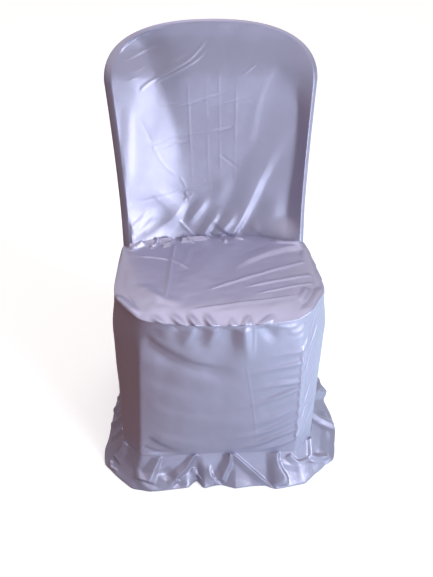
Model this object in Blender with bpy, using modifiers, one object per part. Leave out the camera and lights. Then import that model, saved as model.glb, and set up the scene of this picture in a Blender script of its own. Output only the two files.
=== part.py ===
"""A satin cover for an armless moulded chair: five sewn panels, hollow, standing as it hangs.

The chair it is pulled over faces -Y and is not part of the model.  Every panel is a thin sheet.
Lengths are metres, the floor is Z = 0, and the origin is the middle of the cover's box on the floor.
"""
import bmesh
import bpy
import numpy as np

# Cloth
CLOTH = 0.0012             # thickness of the satin with its seam allowances
SEAM_GAP = 0.0005          # clear distance between two panels at their seam
BACK_CLEARANCE = CLOTH + 2.2 * SEAM_GAP   # between the seat panel and the front panel that stands on it
SEAM_END = 0.0015          # the skirt and the rear panel each stop this part of a place short of their seam

# Heights
HEM_Z = 0.0002             # the hem curls under, so its outer face just meets the floor
FRILL_SEAM_Z = 0.065
SEAT_SEAM_Z = 0.4135
SEAT_REAR_Z = 0.420
SEAT_CROWN = 0.010         # how much higher the middle of the seat stands
SHOULDER_Z = 0.760         # where the straight sides of the backrest end
TOP_Z = 0.877
SKIRT_HEM_Z = FRILL_SEAM_Z + CLOTH + 0.5 * SEAM_GAP   # clears the top of the frill, which flares out

# Backrest
FOOT_HALF_WIDTH = 0.2105
SHOULDER_HALF_WIDTH = 0.2375
SHOULDER_POWER = 2.38      # roundness of the top, 2 is an ellipse
FLARE_POWER = 1.5          # the sides widen slowly at the seat and faster towards the shoulders
FOOT_Y = 0.115             # front crest of the rim at the seat
RECLINE = 0.33             # how far it leans back per metre of height
RECLINE_BEND = 0.12        # and how much that grows with height
RIM_RADIUS = 0.011
RIM_RADIUS_AT_FOOT = 0.004
RIM_SWELLS_OVER = 0.08     # height over which the rim reaches its full radius
RIM_SEAM_TURN = 100.0      # degrees round the rim, 0 at its front crest, 180 at its rear crest
RIM_SAG_OVER = 0.05        # height over which the rim's foot dips to the seat's rolled edge
FOOT_LIFT_OVER = 0.03      # height over which the front panel comes back down from its foot gap
HOLLOW = 0.040             # depth of the seat-back hollow at the seat, and at its top
HOLLOW_AT_TOP = 0.024
BOWL_POWER = 3             # the bowl is flat in its middle
WALL_POWER = 12            # the wall is confined to the outer part of the width
WALL_SHARE = 0.40          # part of the hollow that is the steep wall beside the rim
WALL_ENDS = 0.03           # the wall starts to fade this far below the shoulders
WALL_FADES_OVER = 0.12
REAR_STAND_OFF = 0.034     # the rear panel bridges behind the hollow by this much
REAR_BRIDGE = 0.030        # and by this much more where it crosses the bend at the seat
REAR_BRIDGE_REACH = 0.15   # height over which that dies out, above and below the seat
BACK_CORNER = 0.357        # part of the outline below each shoulder corner of the back's grid

# Seat
SEAT_ROLL = 0.020          # radius of the rolled edge at the front, and at the rear corners
SEAT_ROLL_AT_REAR = 0.006
SEAT_FRONT_LIFT = 0.004    # how much higher the front edge is than the rear one
CROWN_PEAK = 0.9           # half turns of the crown's wave from rear to front
REAR_SHIFT_OVER = 0.15     # places over which the rear corners step clear of the back

# Softness of the plan's corners, in places, at the seat seam and at the frill seam.
FRONT_SOFTNESS = (0.20, 0.07)
REAR_SOFTNESS = (0.03, 0.10)
REAR_REACH = 0.5           # places on either side of a rear corner that take the second pair

# Places round the chair, numbered in order, at the seat seam and at the frill seam.
ROUND = (  # name          seat x   seat y   foot x   foot y   frill spread
    ("rear left",         -0.2140,  0.1220, -0.2120,  0.2560,  0.032),
    ("outer left",        -0.2270, -0.0830, -0.2180, -0.1570,  0.050),
    ("inner left",        -0.1620, -0.1800, -0.1770, -0.2090,  0.046),
    ("front middle",       0.0000, -0.2080,  0.0000, -0.2110,  0.043),
    ("inner right",        0.1680, -0.1890,  0.1700, -0.2070,  0.050),
    ("outer right",        0.2370, -0.0880,  0.2110, -0.1610,  0.080),
    ("rear right",         0.2140,  0.1220,  0.2120,  0.2560,  0.070),
    ("rear middle",        0.0000,  0.1800,  0.0000,  0.2660,  0.050),
)
PLACES = len(ROUND)
REAR_RIGHT = 6
SEAT_FRONT_LEFT = 1.5      # places where the seat panel's front corners lie
SEAT_FRONT_RIGHT = 4.5

# A box inside the chair's plan: cloth is pushed out square to its sides and round its corners.
CORE_HALF_WIDTH = 0.13
CORE_FRONT = -0.13
CORE_REAR = 0.17

# The cover's box is centred on the origin: the chair's own centre stands this far from it.
CHAIR_X = -0.0121
CHAIR_Y = -0.0310

# Cells of each sheet
ACROSS = 16
UP_BACK = 16
SEAT_SIDE = 12
SKIRT_DOWN = 8
RIM_CELLS = 3
REAR_RIM_CELLS = 2
SEAT_ROLL_CELLS = 3
FRILL_ROWS = 5

# Main folds: a ridge runs from its start, where it is highest, and dies out at its end.
BACK_FOLDS = (  # start x, z        end x, z      width   height
    (-0.195, 0.428, -0.058, 0.515, 0.016, 0.010),
    (0.045, 0.425, 0.178, 0.670, 0.016, 0.011),
    (-0.055, 0.440, -0.010, 0.505, 0.014, 0.006),
)
SEAT_FOLDS = (  # start x, y        end x, y      width   height
    (-0.090, 0.100, -0.104, -0.120, 0.014, 0.005),
    (0.200, 0.095, 0.040, -0.015, 0.018, 0.005),
)
SKIRT_FOLDS = (  # start place, drop  end place, drop  width  height
    (3.35, 0.00, 3.42, 0.30, 0.08, 0.006),
    (3.95, 0.35, 3.20, 0.68, 0.10, 0.005),
    (3.95, 0.55, 3.15, 0.90, 0.10, 0.005),
    (2.10, 0.12, 2.95, 0.30, 0.12, -0.006),
)
FRILL_FOLDS = (  # place at the seam, lean to the hem, width, height
    (0.45, 0.05, 0.09, 0.014),
    (0.93, -0.05, 0.06, 0.014),
    (1.10, 0.18, 0.10, 0.014),
    (1.90, 0.26, 0.10, 0.012),
    (2.26, -0.16, 0.08, 0.020),
    (2.72, -0.32, 0.10, 0.020),
    (3.10, -0.08, 0.08, 0.020),
    (3.22, 0.44, 0.10, 0.020),
    (3.78, 0.06, 0.10, 0.018),
    (4.10, 0.30, 0.16, 0.012),
    (4.90, -0.30, 0.14, 0.014),
    (5.19, 0.02, 0.08, 0.018),
    (5.44, 0.06, 0.07, 0.020),
    (5.75, -0.05, 0.07, 0.014),
    (6.35, 0.05, 0.08, 0.014),
    (6.75, -0.04, 0.08, 0.014),
    (7.30, 0.05, 0.08, 0.014),
    (7.70, -0.04, 0.08, 0.014),
)
FRILL_PROFILE = (  # share down  reach   height
    (0.00, 0.00, 1.00),
    (0.20, 0.28, 0.80),
    (0.45, 0.60, 0.52),
    (0.70, 0.86, 0.26),
    (0.90, 1.00, 0.08),
    (1.00, 0.96, 0.00),
)
FOLD_REACH = 0.5           # part of a frill fold's height that pushes outwards, and upwards
FOLD_RISE = 0.7
HEM_WAVE = 0.35            # and the part that still pushes the hem outwards

SATIN = {"color": (0.42, 0.41, 0.60, 1.0), "roughness": 0.36, "metallic": 0.0}


def mix(a, b, share):
    return a + (b - a) * share


def ease(t):
    """0 to 1 with flat ends."""
    t = np.clip(t, 0.0, 1.0)
    return t * t * (3.0 - 2.0 * t)


def points(x, y, z):
    """Three arrays, or numbers, as one array of points in the cover's frame."""
    x, y, z = np.broadcast_arrays(x, y, z)
    return np.stack([x + CHAIR_X, y + CHAIR_Y, z], axis=-1)


def ridges(p, q, rows):
    """Sum of soft ridges on a flat field: each is a bell across its line and fades along it."""
    total = np.zeros(np.broadcast(p, q).shape)
    for start_p, start_q, end_p, end_q, width, height in rows:
        run_p, run_q = end_p - start_p, end_q - start_q
        along = ((p - start_p) * run_p + (q - start_q) * run_q) / (run_p ** 2 + run_q ** 2)
        kept = np.clip(along, 0.0, 1.0)
        away = np.hypot(p - start_p - kept * run_p, q - start_q - kept * run_q)
        total = total + height * np.exp(-(away / width) ** 2) * ease(1.0 - kept)
    return total


# ---------------------------------------------------------------- the chair's shape under the cloth

def soft_hat(t, softness):
    """A tent of height 1 on -1..1 whose corners are rounded by softness."""
    def bend(s):
        return np.sqrt(s * s + softness * softness)
    return 0.5 * (bend(t - 1.0) + bend(t + 1.0)) - bend(t)


def round_chair(place, drop):
    """Plan point at a place round the chair: a polygon with soft corners, from seat to frill seam."""
    place, drop = np.broadcast_arrays(np.asarray(place, float), np.asarray(drop, float))
    to_rear = np.minimum(np.minimum(place, abs(place - REAR_RIGHT)), PLACES - place)
    rear = np.exp(-(to_rear / REAR_REACH) ** 2)
    softness = mix(mix(*FRONT_SOFTNESS, drop), mix(*REAR_SOFTNESS, drop), rear)
    x = np.zeros(place.shape)
    y = np.zeros(place.shape)
    for turn in (-PLACES, 0, PLACES):
        for number, (_, seat_x, seat_y, foot_x, foot_y, _) in enumerate(ROUND):
            share = soft_hat(place - number - turn, softness)
            x = x + share * mix(seat_x, foot_x, drop)
            y = y + share * mix(seat_y, foot_y, drop)
    return x, y


def spine(z):
    """Depth of the rim's front crest at a height: a gently bent recline."""
    rise = z - SEAT_REAR_Z
    return FOOT_Y + RECLINE * rise + RECLINE_BEND * rise * rise


def rim_radius(z):
    return mix(RIM_RADIUS_AT_FOOT, RIM_RADIUS, ease((z - SEAT_REAR_Z) / RIM_SWELLS_OVER))


def half_width(z):
    """Half width of the straight part of the backrest."""
    rise = np.clip((z - SEAT_REAR_Z) / (SHOULDER_Z - SEAT_REAR_Z), 0.0, 1.0)
    return mix(FOOT_HALF_WIDTH, SHOULDER_HALF_WIDTH, rise ** FLARE_POWER)


def crest_shrink(x, z):
    """Move a point of the outer outline in to the rim's crest."""
    radius = rim_radius(z)
    return (x * (1.0 - radius / half_width(z)),
            np.where(z > SHOULDER_Z,
                     SHOULDER_Z + (z - SHOULDER_Z) * (1.0 - radius / (TOP_Z - SHOULDER_Z)), z))


def nearness(x, z):
    """0 on the backrest's middle line, 1 on the crest of its rim."""
    radius = rim_radius(z)
    side = np.abs(x) / (half_width(z) - radius)
    above = np.clip(z - SHOULDER_Z, 0.0, None) / (TOP_Z - SHOULDER_Z - radius)
    return (side ** SHOULDER_POWER + above ** SHOULDER_POWER) ** (1.0 / SHOULDER_POWER)


def hollow(x, z):
    """Depth of the hollow behind the rim's crest: a shallow bowl with a steep wall at its sides."""
    near = np.clip(nearness(x, z), 0.0, 1.0)
    depth = mix(HOLLOW, HOLLOW_AT_TOP, ease((z - SEAT_REAR_Z) / (TOP_Z - SEAT_REAR_Z)))
    wall = WALL_SHARE * (1.0 - ease((z - SHOULDER_Z + WALL_ENDS) / WALL_FADES_OVER))
    return depth * (1.0 - (1.0 - wall) * near ** BOWL_POWER - wall * near ** WALL_POWER)


def back_outline(t):
    """Outer outline of the backrest, t = 0 at its left foot, 0.5 on top and 1 at its right foot."""
    angle = np.radians(np.linspace(0.0, 90.0, 400))
    straight_z = np.linspace(SEAT_REAR_Z, SHOULDER_Z, 200)[:-1]
    z = np.concatenate([straight_z,
                        SHOULDER_Z + (TOP_Z - SHOULDER_Z) * np.sin(angle) ** (2 / SHOULDER_POWER)])
    x = np.concatenate([half_width(straight_z),
                        SHOULDER_HALF_WIDTH * np.cos(angle).clip(0) ** (2 / SHOULDER_POWER)])
    x = np.concatenate([-x, x[-2::-1]])
    z = np.concatenate([z, z[-2::-1]])
    length = np.concatenate([[0.0], np.cumsum(np.hypot(np.diff(x), np.diff(z)))])
    return np.interp(t, length / length[-1], x), np.interp(t, length / length[-1], z)


def coons(low, high, left, right, a, b):
    """Fill four edge curves: the two ruled surfaces less the bilinear one of the corners."""
    a, b = a[..., None], b[..., None]
    near_left, near_right = low(np.zeros(1)), low(np.ones(1))
    far_left, far_right = high(np.zeros(1)), high(np.ones(1))
    flat = ((1 - a) * (1 - b) * near_left + a * (1 - b) * near_right
            + (1 - a) * b * far_left + a * b * far_right)
    a1, b1 = a[..., 0], b[..., 0]
    return (1 - b) * low(a1) + b * high(a1) + (1 - a) * left(b1) + a * right(b1) - flat


def back_plan(a, b):
    """x and z on the backrest inside its crest, a across and b up."""
    def edge(t):
        return np.stack(crest_shrink(*back_outline(t)), axis=-1)

    def foot(s):
        left = edge(np.zeros(1))
        return np.stack([-left[0, 0] * (2 * s - 1), np.full(s.shape, SEAT_REAR_Z)], axis=-1)

    filled = coons(foot, lambda s: edge(mix(BACK_CORNER, 1 - BACK_CORNER, s)),
                   lambda s: edge(BACK_CORNER * s), lambda s: edge(1 - BACK_CORNER * s), a, b)
    return filled[..., 0], filled[..., 1]


def rim(t, turn):
    """Point of the rolled rim: t along its outline, turn in degrees from the front crest."""
    x, z = back_outline(t)
    inner_x, inner_z = crest_shrink(x, z)
    out = np.sin(np.radians(turn))
    radius = rim_radius(z)
    y = spine(z) + radius * (1.0 - np.cos(np.radians(turn)))
    folded = np.radians(np.minimum(np.minimum(turn, 180.0 - turn), 90.0))
    sag = (SEAT_REAR_Z - SEAT_SEAM_Z) * (1.0 - np.cos(folded))
    sag = sag * (1.0 - ease((z - SEAT_REAR_Z) / RIM_SAG_OVER))
    return mix(inner_x, x, out), y, mix(inner_z, z, out) - sag


# ---------------------------------------------------------------- the panels

def foot_gap(z):
    """Lift of the front panel's foot off the seat panel."""
    return BACK_CLEARANCE * (1.0 - ease((z - SEAT_REAR_Z) / FOOT_LIFT_OVER))


def inside_back(a, b):
    x, z = back_plan(a, b)
    free = ease((1 - nearness(x, z)) / 0.1) * ease((z - SEAT_REAR_Z) / FOOT_LIFT_OVER)
    return points(x, spine(z) + hollow(x, z) - free * ridges(x, z, BACK_FOLDS), z + foot_gap(z))


def inside_rim(s, k):
    x, y, z = rim(s, RIM_SEAM_TURN * k)
    return points(x, y, z + foot_gap(z))


def rear_bridge(across, z):
    """How far the rear panel stands off the bend at the seat, across = -1 to 1 over its width."""
    return REAR_BRIDGE * (1 - across ** 2) ** 2 * np.exp(-((z - SEAT_REAR_Z) / REAR_BRIDGE_REACH) ** 2)


def rear_depth(x, z):
    bulge = (hollow(x, z) / HOLLOW) * (HOLLOW + REAR_STAND_OFF - 2 * rim_radius(z))
    across = np.clip(nearness(x, z), 0.0, 1.0)
    return spine(z) + 2 * rim_radius(z) + bulge + rear_bridge(across, z)


def outside_back(a, b):
    x, z = back_plan(a, b)
    return points(x, rear_depth(x, z), z)


def outside_rim(s, k):
    gap = np.degrees(SEAM_GAP / rim_radius(back_outline(s)[1]))
    x, y, z = rim(s, mix(180.0, RIM_SEAM_TURN + gap, k))
    return points(x, y, z)


def seat_edge(place, inward=0.0):
    """The seat panel's outline, moved in by a distance."""
    x, y = round_chair(place, 0.0)
    ahead_x, ahead_y = round_chair(place + 0.01, 0.0)
    back_x, back_y = round_chair(place - 0.01, 0.0)
    run = np.stack([ahead_x - back_x, ahead_y - back_y], axis=-1)
    run = run / np.linalg.norm(run, axis=-1, keepdims=True)
    at_rear = 1.0 - ease(np.minimum(place, REAR_RIGHT - place) / REAR_SHIFT_OVER)
    return np.stack([x - run[..., 1] * inward,
                     y + run[..., 0] * inward - BACK_CLEARANCE * at_rear], axis=-1)


def seat_roll(place):
    return mix(SEAT_ROLL_AT_REAR, SEAT_ROLL, ease(np.minimum(place, REAR_RIGHT - place)))


def seat_height(a, b):
    crown = SEAT_CROWN * (1 - np.abs(2 * a - 1) ** 3) * np.sin(np.pi * CROWN_PEAK * b) ** 0.8
    return SEAT_REAR_Z + crown + SEAT_FRONT_LIFT * ease(b)


def seat(a, b):
    def edge(place):
        return seat_edge(place, seat_roll(place))

    def rear(s):
        foot_x = crest_shrink(*back_outline(np.zeros(1)))[0][0]
        x = -foot_x * (2 * s - 1)
        return np.stack([x, spine(SEAT_REAR_Z) + hollow(x, SEAT_REAR_Z) - BACK_CLEARANCE], axis=-1)

    plan = coons(rear, lambda s: edge(mix(SEAT_FRONT_LEFT, SEAT_FRONT_RIGHT, s)),
                 lambda s: edge(SEAT_FRONT_LEFT * s),
                 lambda s: edge(REAR_RIGHT - SEAT_FRONT_LEFT * s), a, b)
    x, y = plan[..., 0], plan[..., 1]
    inside = np.minimum(1.0, 8 * np.minimum(np.minimum(a, 1 - a), 1 - b))
    return points(x, y, seat_height(a, b) + inside * ridges(x, y, SEAT_FOLDS))


def seat_place(s):
    """Place round the chair for a share of the seat seam that gives each side its own cells."""
    cells = 2 * SEAT_SIDE + ACROSS
    return np.interp(s, [0, SEAT_SIDE / cells, 1 - SEAT_SIDE / cells, 1],
                     [0, SEAT_FRONT_LEFT, SEAT_FRONT_RIGHT, REAR_RIGHT])


def seat_band(s, k):
    place = seat_place(s)
    turn = 0.5 * np.pi * k
    inner = seat_edge(place, seat_roll(place))
    outer = seat_edge(place)
    plan = mix(inner, outer, np.sin(turn)[..., None])
    a = np.clip((place - SEAT_FRONT_LEFT) / (SEAT_FRONT_RIGHT - SEAT_FRONT_LEFT), 0, 1)
    b = np.clip(np.minimum(place, REAR_RIGHT - place) / SEAT_FRONT_LEFT, 0, 1)
    top = seat_height(a, b)
    return points(plan[..., 0], plan[..., 1], mix(top, SEAT_SEAM_Z, 1 - np.cos(turn)))


def outward(x, y):
    """Unit direction away from the core."""
    away_x = x - np.clip(x, -CORE_HALF_WIDTH, CORE_HALF_WIDTH)
    away_y = y - np.clip(y, CORE_FRONT, CORE_REAR)
    size = np.hypot(away_x, away_y)
    return away_x / size, away_y / size


def skirt(s, k):
    place = np.clip(seat_place(s), SEAM_END, REAR_RIGHT - SEAM_END)
    x, y = round_chair(place, k)
    out_x, out_y = outward(x, y)
    push = ridges(place, k, SKIRT_FOLDS) * np.sin(np.pi * np.clip(k, 0.0, 1.0)) ** 0.5
    z = mix(SEAT_SEAM_Z - SEAM_GAP, SKIRT_HEM_Z, k)
    return points(x + push * out_x, y + push * out_y, z)


def rear_skirt(a, b):
    """The rear panel below the seat: a fills its width from right to left, b goes down."""
    band = REAR_RIM_CELLS / (ACROSS + 2 * REAR_RIM_CELLS)

    def upper(s):
        gap = np.degrees(SEAM_GAP / RIM_RADIUS_AT_FOOT)
        turn = mix(RIM_SEAM_TURN + gap, 180.0, np.clip(np.minimum(s, 1 - s) / band, 0, 1))
        x, y, z = rim(np.where(s < 0.5, 1.0, 0.0), turn)
        inner = np.clip((s - band) / (1 - 2 * band), 0, 1)
        foot_x = crest_shrink(*back_outline(np.zeros(1)))[0][0]
        middle_x = foot_x * (2 * inner - 1)
        on_panel = (s >= band) & (s <= 1 - band)
        x = np.where(on_panel, middle_x, x)
        y = np.where(on_panel, rear_depth(middle_x, np.full(s.shape, SEAT_REAR_Z)), y)
        z = np.where(on_panel, SEAT_REAR_Z, z)
        return points(x, y, z)

    def lower(s):
        x, y = round_chair(mix(REAR_RIGHT + SEAM_END, PLACES - SEAM_END, s), 1.0)
        return points(x, y, SKIRT_HEM_Z)

    def edge(place, end):
        def curve(t):
            x, y = round_chair(np.full(t.shape, place), t)
            seam = points(x, y, mix(SEAT_SEAM_Z, SKIRT_HEM_Z, t))
            top_x, top_y = round_chair(place, 0.0)
            step = upper(np.full(1, end)) - points(top_x, top_y, SEAT_SEAM_Z)
            return seam + step * (1 - t)[..., None]
        return curve

    filled = coons(upper, lower, edge(REAR_RIGHT + SEAM_END, 0.0), edge(PLACES - SEAM_END, 1.0), a, b)
    across = np.clip((2 * a - 1) / (1 - 2 * band), -1, 1)
    filled[..., 1] += rear_bridge(across, filled[..., 2]) - rear_bridge(across, SEAT_REAR_Z) * (1 - b)
    return filled


def frill_place(s):
    """Place for a share of the frill: the skirt's own cells, then the rear panel's, each halved."""
    front = 2 * SEAT_SIDE + ACROSS
    rear = ACROSS + 2 * REAR_RIM_CELLS
    cell = s * (front + rear)
    on_front = seat_place(np.clip(cell / front, 0, 1))
    return np.where(cell <= front, on_front,
                    mix(float(REAR_RIGHT), float(PLACES), np.clip((cell - front) / rear, 0, 1)))


def frill(s, k):
    place = frill_place(s)
    x, y = round_chair(place, 1.0)
    out_x, out_y = outward(x, y)
    spread = np.interp(place, np.arange(PLACES + 1), [row[5] for row in ROUND] + [ROUND[0][5]])
    wave = np.zeros(place.shape)
    for fold_place, lean, width, height in FRILL_FOLDS:
        offset = place - fold_place - lean * k
        offset = (offset + PLACES / 2) % PLACES - PLACES / 2
        wave = wave + height * np.exp(-(offset / width) ** 2)
    body = np.sin(np.pi * np.clip(k, 0, 1)) ** 0.8
    down, reaches, heights = zip(*FRILL_PROFILE)
    radial = spread * np.interp(k, down, reaches) + wave * mix(FOLD_REACH * body, HEM_WAVE, ease(k))
    z = mix(HEM_Z, FRILL_SEAM_Z, np.interp(k, down, heights)) + FOLD_RISE * wave * body
    return points(x + radial * out_x, y + radial * out_y, z)


# ---------------------------------------------------------------- making the solids

def satin(name):
    material = bpy.data.materials.new(name + "_satin")
    material.use_nodes = True
    shader = material.node_tree.nodes["Principled BSDF"]
    shader.inputs["Base Color"].default_value = SATIN["color"]
    shader.inputs["Roughness"].default_value = SATIN["roughness"]
    shader.inputs["Metallic"].default_value = SATIN["metallic"]
    return material


def panel(name, patches, collection):
    """One sheet: each patch is (cells one way, cells the other, surface, flipped), welded together."""
    whole = bmesh.new()
    for cells_a, cells_b, surface, flipped in patches:
        patch = bmesh.new()
        bmesh.ops.create_grid(patch, x_segments=cells_a, y_segments=cells_b, size=0.5)
        share = np.array([vertex.co[:2] for vertex in patch.verts]) + 0.5
        share = np.clip(share, 0.0, 1.0)
        for vertex, place in zip(patch.verts, surface(share[:, 0], share[:, 1])):
            vertex.co = place
        if flipped:
            bmesh.ops.reverse_faces(patch, faces=patch.faces)
        loose = bpy.data.meshes.new(name + "_patch")
        patch.to_mesh(loose)
        patch.free()
        whole.from_mesh(loose)
        bpy.data.meshes.remove(loose)
    bmesh.ops.remove_doubles(whole, verts=whole.verts, dist=0.00002)
    mesh = bpy.data.meshes.new(name)
    whole.to_mesh(mesh)
    whole.free()
    mesh.shade_smooth()
    mesh.materials.append(satin(name))
    piece = bpy.data.objects.new(name, mesh)
    collection.objects.link(piece)
    thick = piece.modifiers.new("Cloth", "SOLIDIFY")
    thick.thickness = CLOTH
    thick.offset = 1.0
    thick.use_even_offset = True
    thick.use_quality_normals = True
    return piece


def back_band(surface):
    """Give the rim's band the same places along the outline as the back's grid has on its edge."""
    around = 2 * UP_BACK + ACROSS
    cells = [0, UP_BACK / around, 1 - UP_BACK / around, 1]
    places = [0, BACK_CORNER, 1 - BACK_CORNER, 1]
    return lambda s, k: surface(np.interp(s, cells, places), k)


def build():
    for old in list(bpy.data.objects):
        bpy.data.objects.remove(old, do_unlink=True)
    cover = bpy.data.collections.new("chair_cover")
    bpy.context.scene.collection.children.link(cover)
    around_back = 2 * UP_BACK + ACROSS
    around_seat = 2 * SEAT_SIDE + ACROSS
    panel("inside_back", [(ACROSS, UP_BACK, inside_back, False),
                          (around_back, RIM_CELLS, back_band(inside_rim), False)], cover)
    panel("outside_back", [(ACROSS, UP_BACK, outside_back, True),
                           (around_back, REAR_RIM_CELLS, back_band(outside_rim), True),
                           (ACROSS + 2 * REAR_RIM_CELLS, SKIRT_DOWN, rear_skirt, True)], cover)
    panel("seat", [(ACROSS, SEAT_SIDE, seat, True),
                   (around_seat, SEAT_ROLL_CELLS, seat_band, True)], cover)
    panel("skirt", [(around_seat, SKIRT_DOWN, skirt, True)], cover)
    panel("frill", [(2 * (around_seat + ACROSS + 2 * REAR_RIM_CELLS), FRILL_ROWS, frill, True)], cover)


build()
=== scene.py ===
# A satin cover pulled over an armless chair: five sewn panels, in a plain pale studio.
import math

import bmesh
import bpy
import numpy as np
from mathutils import Matrix, Vector


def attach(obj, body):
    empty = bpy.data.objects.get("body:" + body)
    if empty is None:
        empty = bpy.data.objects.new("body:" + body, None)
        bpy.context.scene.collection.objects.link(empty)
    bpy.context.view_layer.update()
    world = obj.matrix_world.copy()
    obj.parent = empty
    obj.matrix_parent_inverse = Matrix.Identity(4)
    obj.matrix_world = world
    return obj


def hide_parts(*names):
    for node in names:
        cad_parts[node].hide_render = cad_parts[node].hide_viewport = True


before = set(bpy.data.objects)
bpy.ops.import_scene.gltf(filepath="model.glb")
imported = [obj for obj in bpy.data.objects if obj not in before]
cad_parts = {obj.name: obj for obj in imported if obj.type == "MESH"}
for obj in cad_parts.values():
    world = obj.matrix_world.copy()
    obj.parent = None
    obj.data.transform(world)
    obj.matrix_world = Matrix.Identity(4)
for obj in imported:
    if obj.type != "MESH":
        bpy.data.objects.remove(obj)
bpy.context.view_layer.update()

print("frame loaded:", ", ".join(sorted(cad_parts)))

# The chair's shape under the cloth, in metres. The chair itself isn't there.
chair = {
    "x": -0.0121, "y": -0.0310,              # middle of the chair
    "seatRear": 0.420, "seatSeam": 0.4135, "seatCrown": 0.010, "seatFrontLift": 0.004,
    "frillSeam": 0.0665, "hem": 0.0012,
    "shoulder": 0.760, "top": 0.877,
    "footHalfWidth": 0.2105, "shoulderHalfWidth": 0.2375,
    "roundness": 2.38, "flare": 1.5,         # powers of the round top's superellipse and of the sides' flare
    "footY": 0.115, "recline": 0.33, "reclineBend": 0.12, "topLean": 0.008, "topLeanOver": 0.09,
    "rimRadius": 0.011, "rimRadiusAtFoot": 0.004, "rimSwellsOver": 0.08, "rimSagOver": 0.05,
    "seamTurn": 100.0,                       # degrees round the rim, from its front crest to the seam
    "crestInset": (0.0165, 0.0095, 0.0040),  # of the rim's crest from the outline: left, right and top
    "crestRise": (0.0170, 0.0110, 0.0040),   # of the crest before the rim's widest line
    "crestChangeOver": 0.30,                 # width in which the left rise becomes the right one
    "evenOver": 0.05,                        # height, up and down, that the crest's width is averaged over
    "corner": 0.357,                         # part of the back's outline below each shoulder corner
    "hollow": 0.040, "rearHollowAtTop": 0.024, "rearStandOff": 0.034,
    "rearBridge": 0.030, "rearBridgeReach": 0.15,
    "seatRoll": 0.020, "seatRollAtRear": 0.006,
    "coreHalfWidth": 0.13, "coreFront": -0.13, "coreRear": 0.17,
}
seatZ, seamZ, frillZ = chair["seatRear"], chair["seatSeam"], chair["frillSeam"]
shoulderZ, topZ = chair["shoulder"], chair["top"]
outlineSteps = 300                           # up each side of the backrest; twice as many over its top

# Places round the chair, at the seat seam and at the frill seam.
roundPlaces = (  # name        seat x   seat y   foot x   foot y
    ("rear left",    -0.2140,  0.1220, -0.2120,  0.2560),
    ("outer left",   -0.2270, -0.0830, -0.2180, -0.1570),
    ("inner left",   -0.1620, -0.1800, -0.1770, -0.2090),
    ("front middle",  0.0000, -0.2080,  0.0000, -0.2110),
    ("inner right",   0.1680, -0.1890,  0.1700, -0.2070),
    ("outer right",   0.2370, -0.0880,  0.2110, -0.1610),
    ("rear right",    0.2140,  0.1220,  0.2120,  0.2560),
    ("rear middle",   0.0000,  0.1800,  0.0000,  0.2660),
)
frontMiddle, rearRight, wholeTurn = 3.0, 6.0, 8.0
seatFront = (1.5, 4.5)                       # places of the seat's two front corners
cornerSoftness = {  # rounding of the plan's corners, in places
    "seat": 0.20, "foot": 0.07, "crispFoot": 0.030, "rearSeat": 0.03, "rearFoot": 0.10, "frontMiddle": 0.35,
    "crispOver": 0.22,                       # part of the drop in which a crisp skirt's corners get sharp
    "reach": 0.5,                            # places over which the rear's and the front's are felt
}

# Folds are rows of: curve, height, width to its left, width to its right, softness, fade in, fade out.
# Lengths are in millimetres, two where they change along the fold. Fades are parts of its length.
metre = 1000.0                               # in the tables' millimetres
foldShape = {  # in flank widths: how far it is felt, its feet's rounding, and where its feet end
    "reach": 1.6, "foot": 0.12, "softFoot": 0.25, "end": 1.5, "endOver": 0.4,
}
noiseWaves = {"count": 5, "spread": (0.7, 1.4), "finer": 1.9, "weaker": 0.55}   # in each octave


def mix(a, b, share):
    # a to b in a straight line: a + (b - a) s
    return a + (b - a) * share


def ease(t):
    # 0 to 1 with flat ends: 3t2 - 2t3
    t = np.clip(t, 0.0, 1.0)
    return t * t * (3.0 - 2.0 * t)


def easeFrom(t, start, over):
    # The same ease, from a start over a length.
    return ease((t - start) / over)


def fromEnds(t):
    # How far a parameter is from the nearer end of 0..1.
    return np.minimum(t, 1.0 - t)


def pair(a, b):
    # Two arrays as one array of flat points.
    return np.stack([a, b], axis=-1)


def smoothTable(t, rows, blur=0.02, period=None):
    # Values read off a short table, with its corners rounded: the mean of seven shifted readings.
    at, values = np.array(rows, float).T
    shifts = np.linspace(-blur, blur, 7)
    return sum(np.interp(t + shift, at, values, period=period) for shift in shifts) / len(shifts)


def stack(x, y, z):
    # Three arrays as one array of points, moved from the chair's middle to the cover's own frame.
    x, y, z = np.broadcast_arrays(x, y, z)
    return np.stack([x + chair["x"], y + chair["y"], z], axis=-1)


def smoothPath(points, steps=10):
    # A Catmull-Rom curve through a few given points.
    p = np.array(points, float)
    p = np.vstack([2 * p[0] - p[1], p, 2 * p[-1] - p[-2]])
    t = np.linspace(0.0, 1.0, steps, endpoint=False)[:, None]
    runs = []
    for a, b, c, d in zip(p, p[1:], p[2:], p[3:]):
        runs.append(0.5 * (2 * b + (c - a) * t + (2 * a - 5 * b + 4 * c - d) * t ** 2
                           + (3 * b - a - 3 * c + d) * t ** 3))
    return np.vstack(runs + [p[-2:-1]])


def alongFold(value, share):
    # A fold's height or width in metres, from one number, or from two for its start and its end.
    return (mix(*value, share) if isinstance(value, tuple) else value) / metre


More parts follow.
